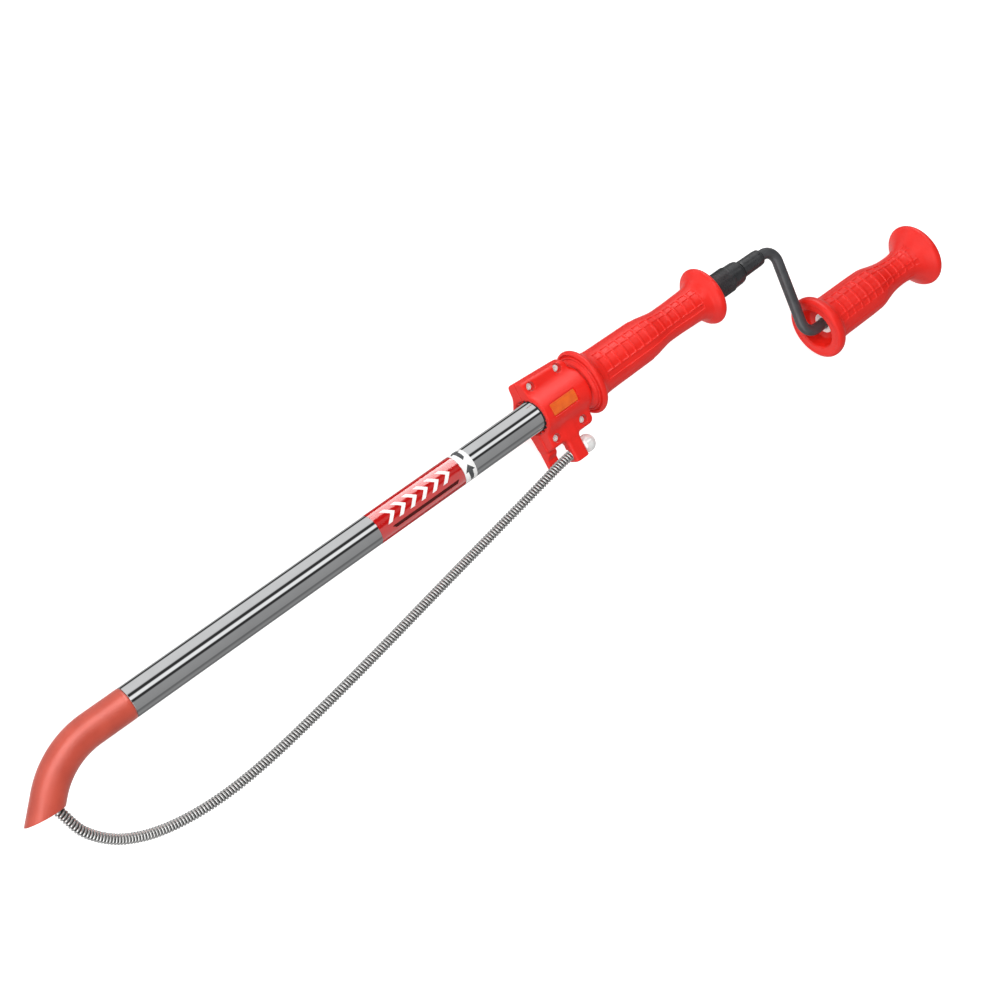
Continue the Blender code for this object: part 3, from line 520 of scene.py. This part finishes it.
def make_bands():
    """The red label with plain chevrons and a dark bar, and the white band with rotation arrows."""
    low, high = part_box("label_wrap")
    skin = TUBE_RADIUS + FILM
    label = sleeve("label_sleeve", low.x, high.x, skin, LABEL)
    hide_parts("label_wrap")
    outline = [(-0.1390, 21.0), (-0.0548, 21.0), (-0.0580, 33.5), (-0.1350, 33.5)]
    bar = patch_on_tube("label_bar", [outline], skin, MAROON, 8, 40)
    chevrons = []
    for n in range(6):
        x = -0.1420 + 0.0138 * n
        for far in (-47.0, 7.0):
            chevrons.append([(x, far), (x + 0.0052, far), (x + 0.0132, -20.0), (x + 0.0080, -20.0)])
    marks = patch_on_tube("label_chevrons", chevrons, skin, WHITE_INK)
    low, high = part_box("direction_band")
    band_skin = skin + FILM / 2
    band = sleeve("band_sleeve", low.x, high.x, band_skin, WHITE_INK)
    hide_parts("direction_band")
    middle, width = (low.x + high.x) / 2, 0.0027
    arrows = []
    for turn in range(4):
        base = 90.0 * turn
        arrows.append([(middle - width, base + 17.0), (middle + width, base + 17.0),
                       (middle + width, base + 56.0), (middle - 0.3 * width, base + 64.0)])
        arrows.append([(middle - 2.1 * width, base + 20.0), (middle + 2.1 * width, base + 20.0),
                       (middle + 0.0002, base - 5.0), (middle - 0.0002, base - 5.0)])
    drawn = patch_on_tube("band_arrows", arrows, band_skin, GREY_INK, 16, 8)
    for piece in (label, bar, marks, band, drawn):
        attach(piece, "guide")


def sleeve(name, front, rear, radius, material):
    """A thin printed film round the tube."""
    under = TUBE_RADIUS + 0.00002
    profile = [(rear, under), (rear, radius - 0.00003), (rear - 0.0001, radius),
               (front + 0.0001, radius), (front, radius - 0.00003), (front, under)]
    return lathe(name, profile, material, segments=144, sharp=60.0)


# ---- implicit surfaces for the moulded collar -------------------------------------------
def smooth_min(a, b, k):
    h = np.clip(0.5 + 0.5 * (b - a) / k, 0.0, 1.0)
    return b * (1 - h) + a * h - k * h * (1 - h)


def smooth_max(a, b, k):
    return -smooth_min(-a, -b, k)


def rounded_box(u, v, half_u, half_v, corner):
    """Distance to a rectangle with rounded corners, centred on zero."""
    qu, qv = np.abs(u) - half_u + corner, np.abs(v) - half_v + corner
    return np.minimum(np.maximum(qu, qv), 0) + np.hypot(np.maximum(qu, 0), np.maximum(qv, 0)) - corner


def net(name, field, low, high, step, material, place, sharp=32.0):
    """A mesh of the surface where field(x, y, z) is zero, negative inside."""
    axes = [np.arange(a - step, b + 2 * step, step) for a, b in zip(low, high)]
    grid = np.meshgrid(*axes, indexing="ij", sparse=True)
    values = field(*grid)
    values = np.broadcast_to(values, tuple(len(a) for a in axes))
    inside = values < 0
    shape = [n - 1 for n in values.shape]
    corners = [(i, j, k) for i in (0, 1) for j in (0, 1) for k in (0, 1)]
    blocks = [inside[i:i + shape[0], j:j + shape[1], k:k + shape[2]] for i, j, k in corners]
    count = sum(b.astype(np.int8) for b in blocks)
    active = (count > 0) & (count < 8)
    ids = np.full(active.shape, -1, int)
    cells = np.argwhere(active)
    ids[active] = np.arange(len(cells))
    level = np.stack([values[tuple((cells + corner).T)] for corner in corners], 1)
    total, hits = np.zeros((len(cells), 3)), np.zeros(len(cells))
    spots = np.array(corners, float)
    for a in range(8):
        for b in range(a + 1, 8):
            if np.abs(spots[a] - spots[b]).sum() != 1:
                continue
            cut = (level[:, a] < 0) != (level[:, b] < 0)
            t = level[cut, a] / (level[cut, a] - level[cut, b])
            total[cut] += spots[a] + t[:, None] * (spots[b] - spots[a])
            hits[cut] += 1
    points = (cells + total / hits[:, None]) * step + np.array([a[0] for a in axes])
    faces = []
    for axis in range(3):
        second, third = (axis + 1) % 3, (axis + 2) % 3
        near = np.moveaxis(inside, axis, 0)[:-1]
        far = np.moveaxis(inside, axis, 0)[1:]
        edge = np.moveaxis(near != far, 0, axis)
        spot = np.argwhere(edge)
        spot = spot[(spot[:, second] > 0) & (spot[:, third] > 0)
                    & (spot[:, second] < shape[second]) & (spot[:, third] < shape[third])]
        quad = []
        for du, dv in ((-1, -1), (0, -1), (0, 0), (-1, 0)):
            cell = spot.copy()
            cell[:, second] += du
            cell[:, third] += dv
            quad.append(ids[cell[:, 0], cell[:, 1], cell[:, 2]])
        quad = np.stack(quad, 1)
        outward = inside[spot[:, 0], spot[:, 1], spot[:, 2]]
        quad[~outward] = quad[~outward][:, ::-1]
        faces.append(quad)
    faces = np.concatenate(faces)
    tiny = step * 0.02
    for _ in range(2):
        here = field(*points.T)
        slope = np.stack([(field(*(points + np.eye(3)[n] * tiny).T) - here) / tiny for n in range(3)], 1)
        size = np.maximum((slope ** 2).sum(1), 0.25)
        move = -(here / size)[:, None] * slope
        reach = np.linalg.norm(move, axis=1)
        move *= np.minimum(1.0, 0.4 * step / np.maximum(reach, 1e-12))[:, None]
        points = points + move
    made = add_mesh(name, points, faces, material, sharp)
    made.data.transform(place)
    return made


SPLIT_SIDE = 0.045                  # the halves part at mid height up to this far out
ROLLED = Matrix.Translation((0.0, AXIS_Y, AXIS_Z)) @ Matrix.Rotation(HOUSING_ROLL, 4, "X")
SCREW_SPOTS = [(x, side) for x in (0.0629, 0.0989) for side in (-0.0294, 0.0294)]


def front_distance(x, z):
    """How far a point is in front of the collar's leaning front face."""
    return (0.0525 + 0.18 * z - x) * 0.984


def collar_field(x, y, z):
    """What both halves of the collar share: plate and barrel, cut back at the leaning front face; the
    bores through them are cut by collar_bores.
    """
    side = -y
    width, height = np.abs(side), np.abs(z)
    taper = 0.0040 * np.clip((x - 0.044) / 0.0665, 0, 1)
    half = np.where(side > 0, 0.0393, 0.0393 - taper) - 0.20 * height
    corner = 0.0055
    qx, qs = np.abs(x - 0.0780) - 0.0325 + corner, width - half + corner
    outline = (np.minimum(np.maximum(qx, qs), 0)
               + np.hypot(np.maximum(qx, 0), np.maximum(qs, 0)) - corner)
    root = np.where(z > 0, 0.0113, 0.0133)
    thick = (height - root + 0.0021 * np.maximum(width - 0.019, 0) / 0.020) * 0.99
    plate = smooth_max(outline, thick, 0.0034)
    barrel = smooth_max(np.hypot(side, z) - 0.0230, x - 0.1148, 0.0018)
    solid = smooth_min(plate, barrel, 0.0060)
    return smooth_max(solid, front_distance(x, z), 0.0020)


def collar_bores(solid, x, y, z):
    """Cuts the tube seat and the ribbed front opening."""
    side = -y
    radius = np.hypot(side, z)
    mouth = smooth_max(radius - 0.0192, x - 0.0600, 0.0004)
    solid = smooth_max(solid, -mouth, 0.0010)
    step = math.radians(20.0)
    angle = np.arctan2(side, z) / step
    across = radius * np.abs(angle - np.round(angle)) * step - 0.0008
    ribs = np.maximum(np.maximum(across, np.maximum(0.0172 - radius, radius - 0.0202)),
                      np.maximum(front_distance(x, z) + 0.0012, x - 0.0605))
    solid = smooth_min(solid, ribs, 0.0005)
    seat = np.maximum(radius - 0.0163, x - 0.0984)
    return np.maximum(np.maximum(solid, -seat), 0.0144 - radius)


def upper_collar(x, y, z):
    """The upper half: finger over the cable, screw counterbores and badge recess."""
    side = -y
    solid = collar_field(x, y, z)
    body = rounded_box(x - 0.0799, z - 0.0017, 0.0087, 0.0087, 0.0048)
    finger = smooth_max(body, np.abs(side - 0.0396) - 0.0231, 0.0014)
    solid = smooth_min(solid, finger, 0.0042)
    hook = np.where(z > 0, np.hypot(side - 0.0547, z) - 0.0063, np.abs(side - 0.0515) - 0.0095)
    solid = smooth_max(solid, -hook, 0.0006)
    for sx, ss in SCREW_SPOTS:
        bore = smooth_max(np.hypot(x - sx, side - ss) - SCREW_SEAT, 0.0046 - z, 0.0005)
        solid = smooth_max(solid, -bore, 0.0008)
    recess = rounded_box(x - BADGE_X, side, 0.0172, 0.0074, 0.0020)
    recess = smooth_max(recess, BADGE_FLOOR - np.hypot(side, z), 0.0003)
    solid = smooth_max(solid, -np.maximum(recess, -z), 0.0005)
    solid = collar_bores(solid, x, y, z)
    return np.maximum(solid, -np.maximum(z - SEAM, side - SPLIT_SIDE))


def lower_collar(x, y, z):
    """The lower half, with the lobe that cradles the cable."""
    side = -y
    solid = collar_field(x, y, z)
    plan = rounded_box(x - 0.0541, side - 0.0383, 0.0091, 0.0217, 0.0052)
    lobe = smooth_max(plan, np.abs(z + 0.0079) - 0.0059, 0.0018)
    lobe = smooth_max(lobe, front_distance(x, z), 0.0020)
    solid = smooth_min(solid, lobe, 0.0036)
    ramp = -(z + 0.0020 + side - 0.0440) / math.sqrt(2.0)
    cradle = np.maximum(np.maximum(0.0440 - side, ramp), -0.0075 - z)
    solid = smooth_max(solid, -cradle, 0.0012)
    solid = collar_bores(solid, x, y, z)
    return np.maximum(solid, -np.maximum(-SEAM - z, side - SPLIT_SIDE))


def screw_field(x, y, z):
    """A pan head with a cross recess, its seat at zero height."""
    radius = np.hypot(x, y)
    dome = smooth_max(radius - 0.0034, np.sqrt(radius ** 2 + (z + 0.0071) ** 2) - 0.0092, 0.0005)
    head = np.maximum(dome, -z)
    flare = 0.00065 + 0.25 * np.maximum(z - 0.0012, 0)
    cross = np.minimum(np.maximum(np.abs(x) - 0.0018, np.abs(y) - flare),
                       np.maximum(np.abs(y) - 0.0018, np.abs(x) - flare))
    cut = np.maximum(cross, 0.0008 + 0.35 * radius - z)
    return smooth_max(head, -cut, 0.00012)


def make_collar():
    """The two collar halves, their screws, the badge plate and a near-black ring in the opening, painted
    shade behind the ribs.
    """
    step = 0.0005
    upper = net("collar_upper", upper_collar, (0.0490, -0.0640, -0.0078), (0.1160, 0.0402, 0.0242), step,
                RED, ROLLED)
    lower = net("collar_lower", lower_collar, (0.0470, -0.0620, -0.0242), (0.1160, 0.0402, 0.0008), step,
                RED, ROLLED)
    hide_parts("housing_top")
    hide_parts("housing_bottom")
    pieces = [upper, lower]
    for n, (x, side) in enumerate(SCREW_SPOTS, 1):
        turn = Matrix.Rotation(math.radians(25.0 + 37.0 * n), 4, "Z")
        place = ROLLED @ Matrix.Translation((x, -side, SCREW_SEAT)) @ turn
        screw = net(f"collar_screw_{n}", screw_field, (-0.0034, -0.0034, -0.0001),
                    (0.0034, 0.0034, 0.0026), 0.00016, SCREW, place)
        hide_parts(f"housing_screw_{n}")
        pieces.append(screw)
    pieces.append(make_badge())
    # A near-black ring just inside the mouth, painted shade behind the ribbed opening.
    shade_ring = lathe("tube_wiper", rounded([(0.0600, 0.0162), (0.0600, 0.0170), (0.0570, 0.0170, 0.0003),
                                         (0.0564, 0.0162, 0.0003)], 3), MOUTH_SHADE, segments=96)
    pieces.append(shade_ring)
    for piece in pieces:
        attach(piece, "guide")
    keep_out_of_reflections((upper, lower))


def badge_field(x, y, z):
    """A curved plate with a raised rim, its middle left plain."""
    radius = np.hypot(y, z)
    outline = rounded_box(x - BADGE_X, y, 0.0161, 0.0063, 0.0014)
    rim = np.clip((np.abs(outline + 0.0010) - 0.0004) / 0.0002, 0.0, 1.0)
    height = 0.0219 + 0.0004 * (1 - rim)
    return np.maximum(smooth_max(outline, radius - height, 0.0002), BADGE_FLOOR - radius)


def make_badge():
    badge = net("badge_inlay", badge_field, (0.0650, -0.0070, 0.0200), (0.0985, 0.0070, 0.0224), 0.0003,
                ORANGE, ROLLED)
    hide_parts("badge_plate")
    return badge


# ---- grips ------------------------------------------------------------------------------
def thinned(values, gap):
    """Rising values without those that follow the last kept one within the gap."""
    kept = [values[0]]
    for value in values[1:]:
        if value - kept[-1] > gap:
            kept.append(value)
    return np.array(kept)


def stations(low, high, spacing, edges, soft):
    """Sorted positions about a spacing apart, closer together at each edge."""
    base = list(np.arange(low, high + spacing / 2, spacing))
    for edge in edges:
        base += [edge - soft, edge - soft / 3, edge + soft / 3, edge + soft]
    return thinned(sorted(base), soft * 0.3)


def step_up(distance, soft):
    t = np.clip(distance / soft, 0.0, 1.0)
    return t * t * (3 - 2 * t)


class Grip:
    """The moulded pattern of a grip: rows of sunk pockets between ribs, and smooth side bands."""

    def __init__(self, columns, centre, band, grooved=False):
        self.columns = columns          # (front, rear) x of each pocket
        self.centre = centre            # angle of the pattern's middle, in degrees
        self.rows = [(-39.0, -23.5), (-20.0, 20.0), (23.5, 39.0)]
        self.band = band                # half-width of the raised side band at an x
        self.grooved = grooved          # whether the last row is one long groove

    def angles(self):
        soft = 1.4
        edges = [low for row in self.rows for low in row] + [60.0, 75.0, 90.0, 105.0, 120.0]
        half = stations(-45.0, 135.0, 3.75, edges, soft)
        whole = np.unique(np.round(np.concatenate([half, half + 180.0]) % 360.0, 3))
        return np.radians(thinned(whole, 0.4) + self.centre)

    def relief(self, profile, phi):
        x, radius = profile[:, :1], profile[:, 1:]
        turned = np.degrees(phi)[None, :] - self.centre
        along = np.full_like(x, -1.0)
        for front, rear in self.columns:
            along = np.maximum(along, np.minimum(x - front, rear - x))
        whole = np.minimum(x - self.columns[0][0], self.columns[-1][1] - x)
        out = np.zeros((len(profile), len(phi)))
        for half in (0.0, 180.0):
            angle = (turned - half + 180.0) % 360.0 - 180.0
            for low, high in self.rows:
                across = np.radians(np.minimum(angle - low, high - angle)) * radius
                length = whole if self.grooved and low > 20.0 else along
                inside = smooth_min(length, across, 0.0010)
                out -= POCKET_DEPTH * step_up(inside + 0.00025, 0.0007)
            edge = np.radians(90.0 - np.abs((turned - half - 90.0 + 180.0) % 360.0 - 180.0))
            offset = radius * np.abs(math.pi / 2 - edge)
            out += BAND_HEIGHT * step_up(self.band(x) - offset, 0.0006)
        return out


def foregrip_band(x):
    full = np.interp(x, [0.128, 0.140, 0.2045, 0.2052], [0.004, 0.0105, 0.0095, -0.002])
    return np.where(x < 0.125, -0.01, full)


def crank_band(x):
    full = np.interp(x, [0.415, 0.422, 0.478, 0.505, 0.540], [0.002, 0.0125, 0.0115, 0.0062, 0.0055])
    return np.where((x < 0.413) | (x > 0.541), -0.01, full)


def grip_mesh(name, outside, body, bore, grip, material, side=0.0):
    """A grip whose outside runs smoothly through its points; the pattern lies on its body."""
    line = smooth_line(outside, 0.0012)
    low, high = body
    edges = [x for column in grip.columns for x in column]
    spots = stations(low, high, 0.0025, edges, 0.0006)
    order = np.argsort(line[:, 0])
    in_body = (line[:, 0] > low) & (line[:, 0] < high)
    first = np.argmax(in_body)
    last = len(line) - 1 - np.argmax(in_body[::-1])
    middle = np.stack([spots, np.interp(spots, line[order, 0], line[order, 1])], 1)[::-1]
    outer = np.vstack([line[:first], middle, line[last + 1:]])
    profile = np.vstack([outer, bore])
    marked = len(outer)

    def relief(full, phi):
        added = grip.relief(full, phi)
        added[marked:] = 0.0
        outside_body = (full[:, 0] < low) | (full[:, 0] > high)
        added[outside_body] = 0.0
        return added

    return lathe(name, profile, material, side, angles=grip.angles(), relief=relief, sharp=42.0)


def make_foregrip():
    """The foregrip with its disc guard, pocketed body, waist and flared end."""
    low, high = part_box("foregrip")
    front, rear = low.x, high.x
    columns = [(x + 0.0009, x + 0.01105 - 0.0009) for x in 0.1381 + 0.01105 * np.arange(13)]
    grip = Grip(columns, -13.0, foregrip_band, grooved=True)
    outside = [(rear, 0.0273), (rear - 0.0014, 0.0305), (rear - 0.0042, 0.0319), (rear - 0.0072, 0.0309),
               (rear - 0.0100, 0.0278), (rear - 0.0128, 0.0240), (rear - 0.0170, 0.0212),
               (rear - 0.0225, 0.0197), (0.2640, 0.0189), (0.2450, 0.0184), (0.2310, 0.0187),
               (0.2200, 0.0205), (0.2100, 0.0222), (0.1800, 0.0230), (0.1450, 0.0236),
               (0.1380, 0.0242), (0.1320, 0.0262), (0.1282, 0.0300), (0.1262, 0.0333),
               (0.1245, 0.0349), (0.1222, 0.0355), (0.1200, 0.0347), (0.1190, 0.0330)]
    bore = rounded([(0.1196, 0.0318, 0.0006), (0.1212, 0.0309, 0.0006), (0.1188, 0.0300, 0.0006),
                    (0.1180, 0.0291, 0.0005), (0.1196, 0.0284, 0.0005), (0.1176, 0.0274, 0.0005),
                    (0.1166, 0.0262, 0.0006), (front, 0.0254, 0.0006), (front, 0.0142, 0.0003),
                    (0.2923, 0.0142), (0.2923, 0.0083), (rear - 0.0008, 0.0083),
                    (rear - 0.0008, 0.0160, 0.0006), (rear - 0.0002, 0.0190, 0.0008)], 3)
    piece = grip_mesh("foregrip_moulding", outside, (0.1290, 0.2880), bore, grip, RED)
    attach(piece, "handle")
    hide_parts("foregrip")


def make_crank_grip():
    """The crank grip: open front flange, pocketed body, waist and rear flare."""
    low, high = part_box("crank_grip")
    front, rear = low.x, high.x
    columns = [(x + 0.0009, x + 0.0113 - 0.0009) for x in 0.4177 + 0.0113 * np.arange(12)]
    grip = Grip(columns, -22.5, crank_band)
    outside = [(rear, 0.0316), (rear - 0.0014, 0.0346), (rear - 0.0041, 0.0358), (rear - 0.0070, 0.0348),
               (rear - 0.0100, 0.0313), (rear - 0.0150, 0.0262), (rear - 0.0215, 0.0210),
               (rear - 0.0300, 0.0179), (0.5270, 0.0172), (0.5130, 0.0181), (0.5010, 0.0206),
               (0.4890, 0.0236), (0.4780, 0.0243), (0.4480, 0.0246), (0.4240, 0.0250), (0.4180, 0.0262),
               (0.4135, 0.0290), (0.4110, 0.0325), (0.4085, 0.0346), (0.4043, 0.0355),
               (0.4008, 0.0346), (front, 0.0318)]
    bore = rounded([(front + 0.0002, 0.0300, 0.0006), (front + 0.0007, 0.0296, 0.0004),
                    (front + 0.0002, 0.0236, 0.0010), (0.4010, 0.0222, 0.0010),
                    (0.4060, 0.0208, 0.002), (0.4120, 0.0182, 0.002), (0.4150, 0.0140, 0.0010),
                    (0.4150, 0.0102), (0.4280, 0.0102), (0.4280, 0.0074), (0.5230, 0.0074),
                    (0.5230, 0.0102), (0.5600, 0.0102), (0.5600, 0.0130),
                    (rear - 0.0006, 0.0130, 0.0004), (rear - 0.0006, 0.0285, 0.0006),
                    (rear, 0.0295, 0.0006)], 3)
    piece = grip_mesh("crank_grip_moulding", outside, (0.4145, 0.5480), bore, grip, RED, CRANK_THROW)
    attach(piece, "crank_grip")
    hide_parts("crank_grip")
    end, inner_end = 0.5681, 0.5603
    outline = rounded([(end, 0.0), (end, 0.0108, 0.0005), (end - 0.0007, 0.0113, 0.0003),
                       (end, 0.0118, 0.0003), (end, 0.0127, 0.0006), (inner_end, 0.0127),
                       (inner_end, 0.0)], 3)
    plug = lathe("grip_end_cap", outline, DARK_RED, CRANK_THROW, 64, closed=False)
    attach(plug, "crank_grip")
    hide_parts("grip_end_plug")


# ---- slide and drive ----------------------------------------------------------------------
def make_slide():
    """The bright inner tube that slides out of the guide tube."""
    low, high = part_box("inner_tube")
    tube = lathe("inner_tube_steel", rounded([(high.x, 0.0129), (high.x, 0.0139, 0.0003),
                                              (low.x, 0.0139, 0.0004), (low.x, 0.0129, 0.0003)], 3),
                 STEEL, segments=96)
    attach(tube, "handle")
    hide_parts("inner_tube")


def make_drive():
    """Coupling, socket and bent rod, blackened, and the white washer at the crank grip."""
    low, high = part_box("shaft_coupling")
    front, rear = low.x, high.x
    grooves = []
    for n in range(17):
        x = rear - 0.0200 - 0.0014 * n
        grooves += [(x, 0.0141, 0.0001), (x - 0.0003, 0.01365, 0.0001),
                    (x - 0.0007, 0.01365, 0.0001), (x - 0.0010, 0.0141, 0.0001)]
    coupling = lathe("coupling_sleeve", rounded(
        [(rear, 0.0084), (rear, 0.0096, 0.0006), (rear - 0.0020, 0.0120, 0.0012),
         (rear - 0.0052, 0.0127, 0.0012), (rear - 0.0170, 0.0132, 0.0010),
         (rear - 0.0185, 0.0141, 0.0010), *grooves, (front + 0.0010, 0.0141, 0.0006),
         (front, 0.0131, 0.0006), (front, 0.0068), (rear - 0.0052, 0.0068),
         (rear - 0.0052, 0.0084)]), BLACK)
    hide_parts("shaft_coupling")
    low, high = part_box("crank_socket")
    front, rear = low.x, high.x
    socket = lathe("rod_socket", rounded(
        [(rear, 0.0064), (rear, 0.0071, 0.0006), (rear - 0.0016, 0.0086, 0.0010),
         (rear - 0.0060, 0.0091, 0.002), (front + 0.0090, 0.0093, 0.002),
         (front + 0.0055, 0.0093, 0.0006), (front + 0.0055, 0.0081), (front, 0.0081),
         (front, 0.0026), (0.3597, 0.0026), (0.3597, 0.0064)]), BLACK, segments=72)
    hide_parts("crank_socket")
    rod = make_rod()
    washer_low, washer_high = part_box("grip_washer")
    washer = lathe("grip_front_washer", rounded(
        [(washer_high.x, 0.0064), (washer_high.x, 0.0115, 0.0004), (washer_low.x, 0.0115, 0.0005),
         (washer_low.x, 0.0064, 0.0004)], 3), NYLON, CRANK_THROW, 72)
    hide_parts("grip_washer")
    for piece in (coupling, socket, rod, washer):
        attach(piece, "crank")


def make_rod():
    """The round bar of the crank, bent twice."""
    corners = [np.array([x, AXIS_Y - side, AXIS_Z]) for x, side in
               ((0.3602, 0.0), (0.4033, 0.0), (0.3856, CRANK_THROW), (0.5478, CRANK_THROW))]
    path = [corners[0]]
    for before, corner, after in zip(corners, corners[1:], corners[2:]):
        incoming = (corner - before) / np.linalg.norm(corner - before)
        outgoing = (after - corner) / np.linalg.norm(after - corner)
        turn = math.acos(float(incoming @ outgoing))
        start = corner - incoming * ROD_BEND * math.tan(turn / 2)
        inward = outgoing - incoming * (incoming @ outgoing)
        inward /= np.linalg.norm(inward)
        centre = start + inward * ROD_BEND
        path += list(np.linspace(path[-1], start, 8)[1:-1])
        for i in range(17):
            a = turn * i / 16
            path.append(centre - inward * ROD_BEND * math.cos(a) + incoming * ROD_BEND * math.sin(a))
    path += list(np.linspace(path[-1], corners[-1], 14)[1:])
    rod = sweep("crank_bar", np.array(path), ROD_RADIUS, ROD_PAINT, 40)
    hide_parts("crank_rod")
    return rod


# ---- light and floor ----------------------------------------------------------------------
def make_world():
    """White all round for sight and soft light. Mirror surfaces see the long bright and dark
    strips of a studio tent, laid along X."""
    world = bpy.data.worlds.new("studio")
    bpy.context.scene.world = world
    world.use_nodes = True
    nodes, links = world.node_tree.nodes, world.node_tree.links
    nodes.clear()

    def combine(operation, first, second):
        node = add_node(nodes, "Math")
        node.operation = operation
        links.new(first, node.inputs[0])
        if isinstance(second, float):
            node.inputs[1].default_value = second
        else:
            links.new(second, node.inputs[1])
        return node.outputs[0]

    def stretched(value, low, high):
        node = add_node(nodes, "MapRange", From_Min=low, From_Max=high)
        links.new(value, node.inputs["Value"])
        return node.outputs["Result"]

    parts = add_node(nodes, "SeparateXYZ")
    links.new(add_node(nodes, "TexCoord").outputs["Generated"], parts.inputs["Vector"])
    turn = combine("ARCTAN2", combine("MULTIPLY", parts.outputs["Y"], -1.0), parts.outputs["Z"])
    ramp = add_node(nodes, "ValToRGB")
    stops = [(-180, 0.50), (-147, 0.45), (-141, 0.02), (-127, 0.02), (-119, 0.70), (-56, 0.68),
             (-49, 0.035), (-34, 0.035), (-28, 0.95), (-13, 0.95), (-7, 0.03), (5, 0.03), (11, 0.31),
             (68, 0.28), (73, 0.15), (86, 0.16), (91, 0.23), (113, 0.26), (124, 0.14), (136, 0.17),
             (150, 0.38), (180, 0.50)]
    elements = ramp.color_ramp.elements
    while len(elements) < len(stops):
        elements.new(0.5)
    for element, (angle, value) in zip(elements, stops):
        element.position = (angle + 180.0) / 360.0
        element.color = (value, value, value, 1.0)
    links.new(stretched(turn, -math.pi, math.pi), ramp.inputs["Fac"])
    above = stretched(parts.outputs["Z"], 0.0, 0.25)
    colour = ramp.outputs["Color"]
    for start, end, value in ((-0.52, -0.78, 1.9), (0.62, 0.85, 0.03)):
        facing = stretched(parts.outputs["X"], start, end)
        panel = add_node(nodes, "Mix")
        panel.data_type = "RGBA"
        panel.inputs["B"].default_value = (value, value, value, 1.0)
        links.new(combine("MULTIPLY", facing, above), panel.inputs["Factor"])
        links.new(colour, panel.inputs["A"])
        colour = panel.outputs["Result"]
    white = (1.0, 1.0, 1.0, 1.0)
    strips = add_node(nodes, "Background")
    plain = add_node(nodes, "Background", Color=white, Strength=0.44)
    sight = add_node(nodes, "Background", Color=white, Strength=1.0)
    links.new(colour, strips.inputs["Color"])
    rays = add_node(nodes, "LightPath")
    mirror, seen = add_node(nodes, "MixShader"), add_node(nodes, "MixShader")
    links.new(rays.outputs["Is Glossy Ray"], mirror.inputs["Fac"])
    links.new(plain.outputs[0], mirror.inputs[1])
    links.new(strips.outputs[0], mirror.inputs[2])
    links.new(rays.outputs["Is Camera Ray"], seen.inputs["Fac"])
    links.new(mirror.outputs[0], seen.inputs[1])
    links.new(sight.outputs[0], seen.inputs[2])
    links.new(seen.outputs[0], add_node(nodes, "OutputWorld").inputs["Surface"])


def area_light(name, place, target, size, power, glossy=True):
    data = bpy.data.lights.new(name, "AREA")
    data.shape = "RECTANGLE"
    data.size, data.size_y = size
    data.energy = power
    lamp = bpy.data.objects.new(name, data)
    bpy.context.scene.collection.objects.link(lamp)
    lamp.location = place
    lamp.rotation_euler = (Vector(target) - Vector(place)).to_track_quat("-Z", "X").to_euler()
    lamp.visible_glossy = glossy
    return lamp


def make_stage():
    """Floor, overhead and fill lights, and softboxes that put gloss on the red and black pieces."""
    reach, depth = 8.0, -0.0003
    verts = [(x * reach, y * reach, depth) for x, y in ((-1, -1), (1, -1), (1, 1), (-1, 1))]
    floor = add_mesh("floor", verts, [(0, 1, 2, 3)], FLOOR, None)
    floor.visible_glossy = False
    area_light("overhead", (-0.5, 0.9, 2.0), (0.0, 0.0, 0.0), (2.6, 1.0), 45.0, False)
    area_light("fill", (-1.6, -0.8, 1.4), (0.0, 0.0, 0.0), (1.4, 1.4), 5.0, False)
    gloss_light("plastic_sheen", (0.9, 1.5, 0.95), (2.4, 0.5), 13.0, (RED, DARK_RED, VINYL, BLACK))
    gloss_light("guard_sheen", (0.0, 1.06, 1.06), (0.9, 3.4), 48.0, (VINYL,))
    gloss_light("label_sheen", (0.7, 1.5, 0.09), (1.84, 4.0), 240.0, (LABEL,))
    gloss_light("label_low_sheen", (0.6, -1.3, 0.75), (3.6, 3.0), 66.0, (LABEL,))


def gloss_light(name, place, size, power, materials):
    """A softbox that only puts gloss on the pieces of these materials."""
    lamp = area_light(name, place, (0.1, 0.0, 0.0), size, power)
    lamp.visible_diffuse = False
    lit = bpy.data.collections.new(name + "_pieces")
    for piece in bpy.data.objects:
        if piece.type == "MESH" and piece.data.materials and piece.data.materials[0] in materials:
            lit.objects.link(piece)
    lamp.light_linking.receiver_collection = lit
    lamp.light_linking.blocker_collection = bpy.data.collections.new(name + "_blockers")


def keep_out_of_reflections(pieces):
    """The bright metal mirrors the tent around it, not its red and wound neighbours."""
    for piece in pieces:
        piece.visible_glossy = False


def make_hidden():
    """Materials for the CAD nodes that stay as they are."""
    for name in ("slide_bush", "cable_guide_bush", "shaft_bearing_front", "shaft_bearing_rear",
                 "thrust_washer", "grip_bush_front", "grip_bush_rear"):
        finish_node(name, NYLON)
    for name in ("elbow_tube", "tube_retaining_ring", "cable_ferrule", "drive_shaft", "coupling_pin",
                 "rod_retainer"):
        finish_node(name, STEEL)
    finish_node("cable_core", WIRE)


make_camera()
loop, shade_core, cable_path, cable_length = make_cable()
bulb = make_bulb()
make_tube()
make_guard()
make_bands()
make_collar()
make_slide()
make_foregrip()
make_drive()
make_crank_grip()
make_hidden()
keep_out_of_reflections((loop, shade_core))
make_stage()
make_world()
bpy.context.scene.view_settings.view_transform = "Standard"
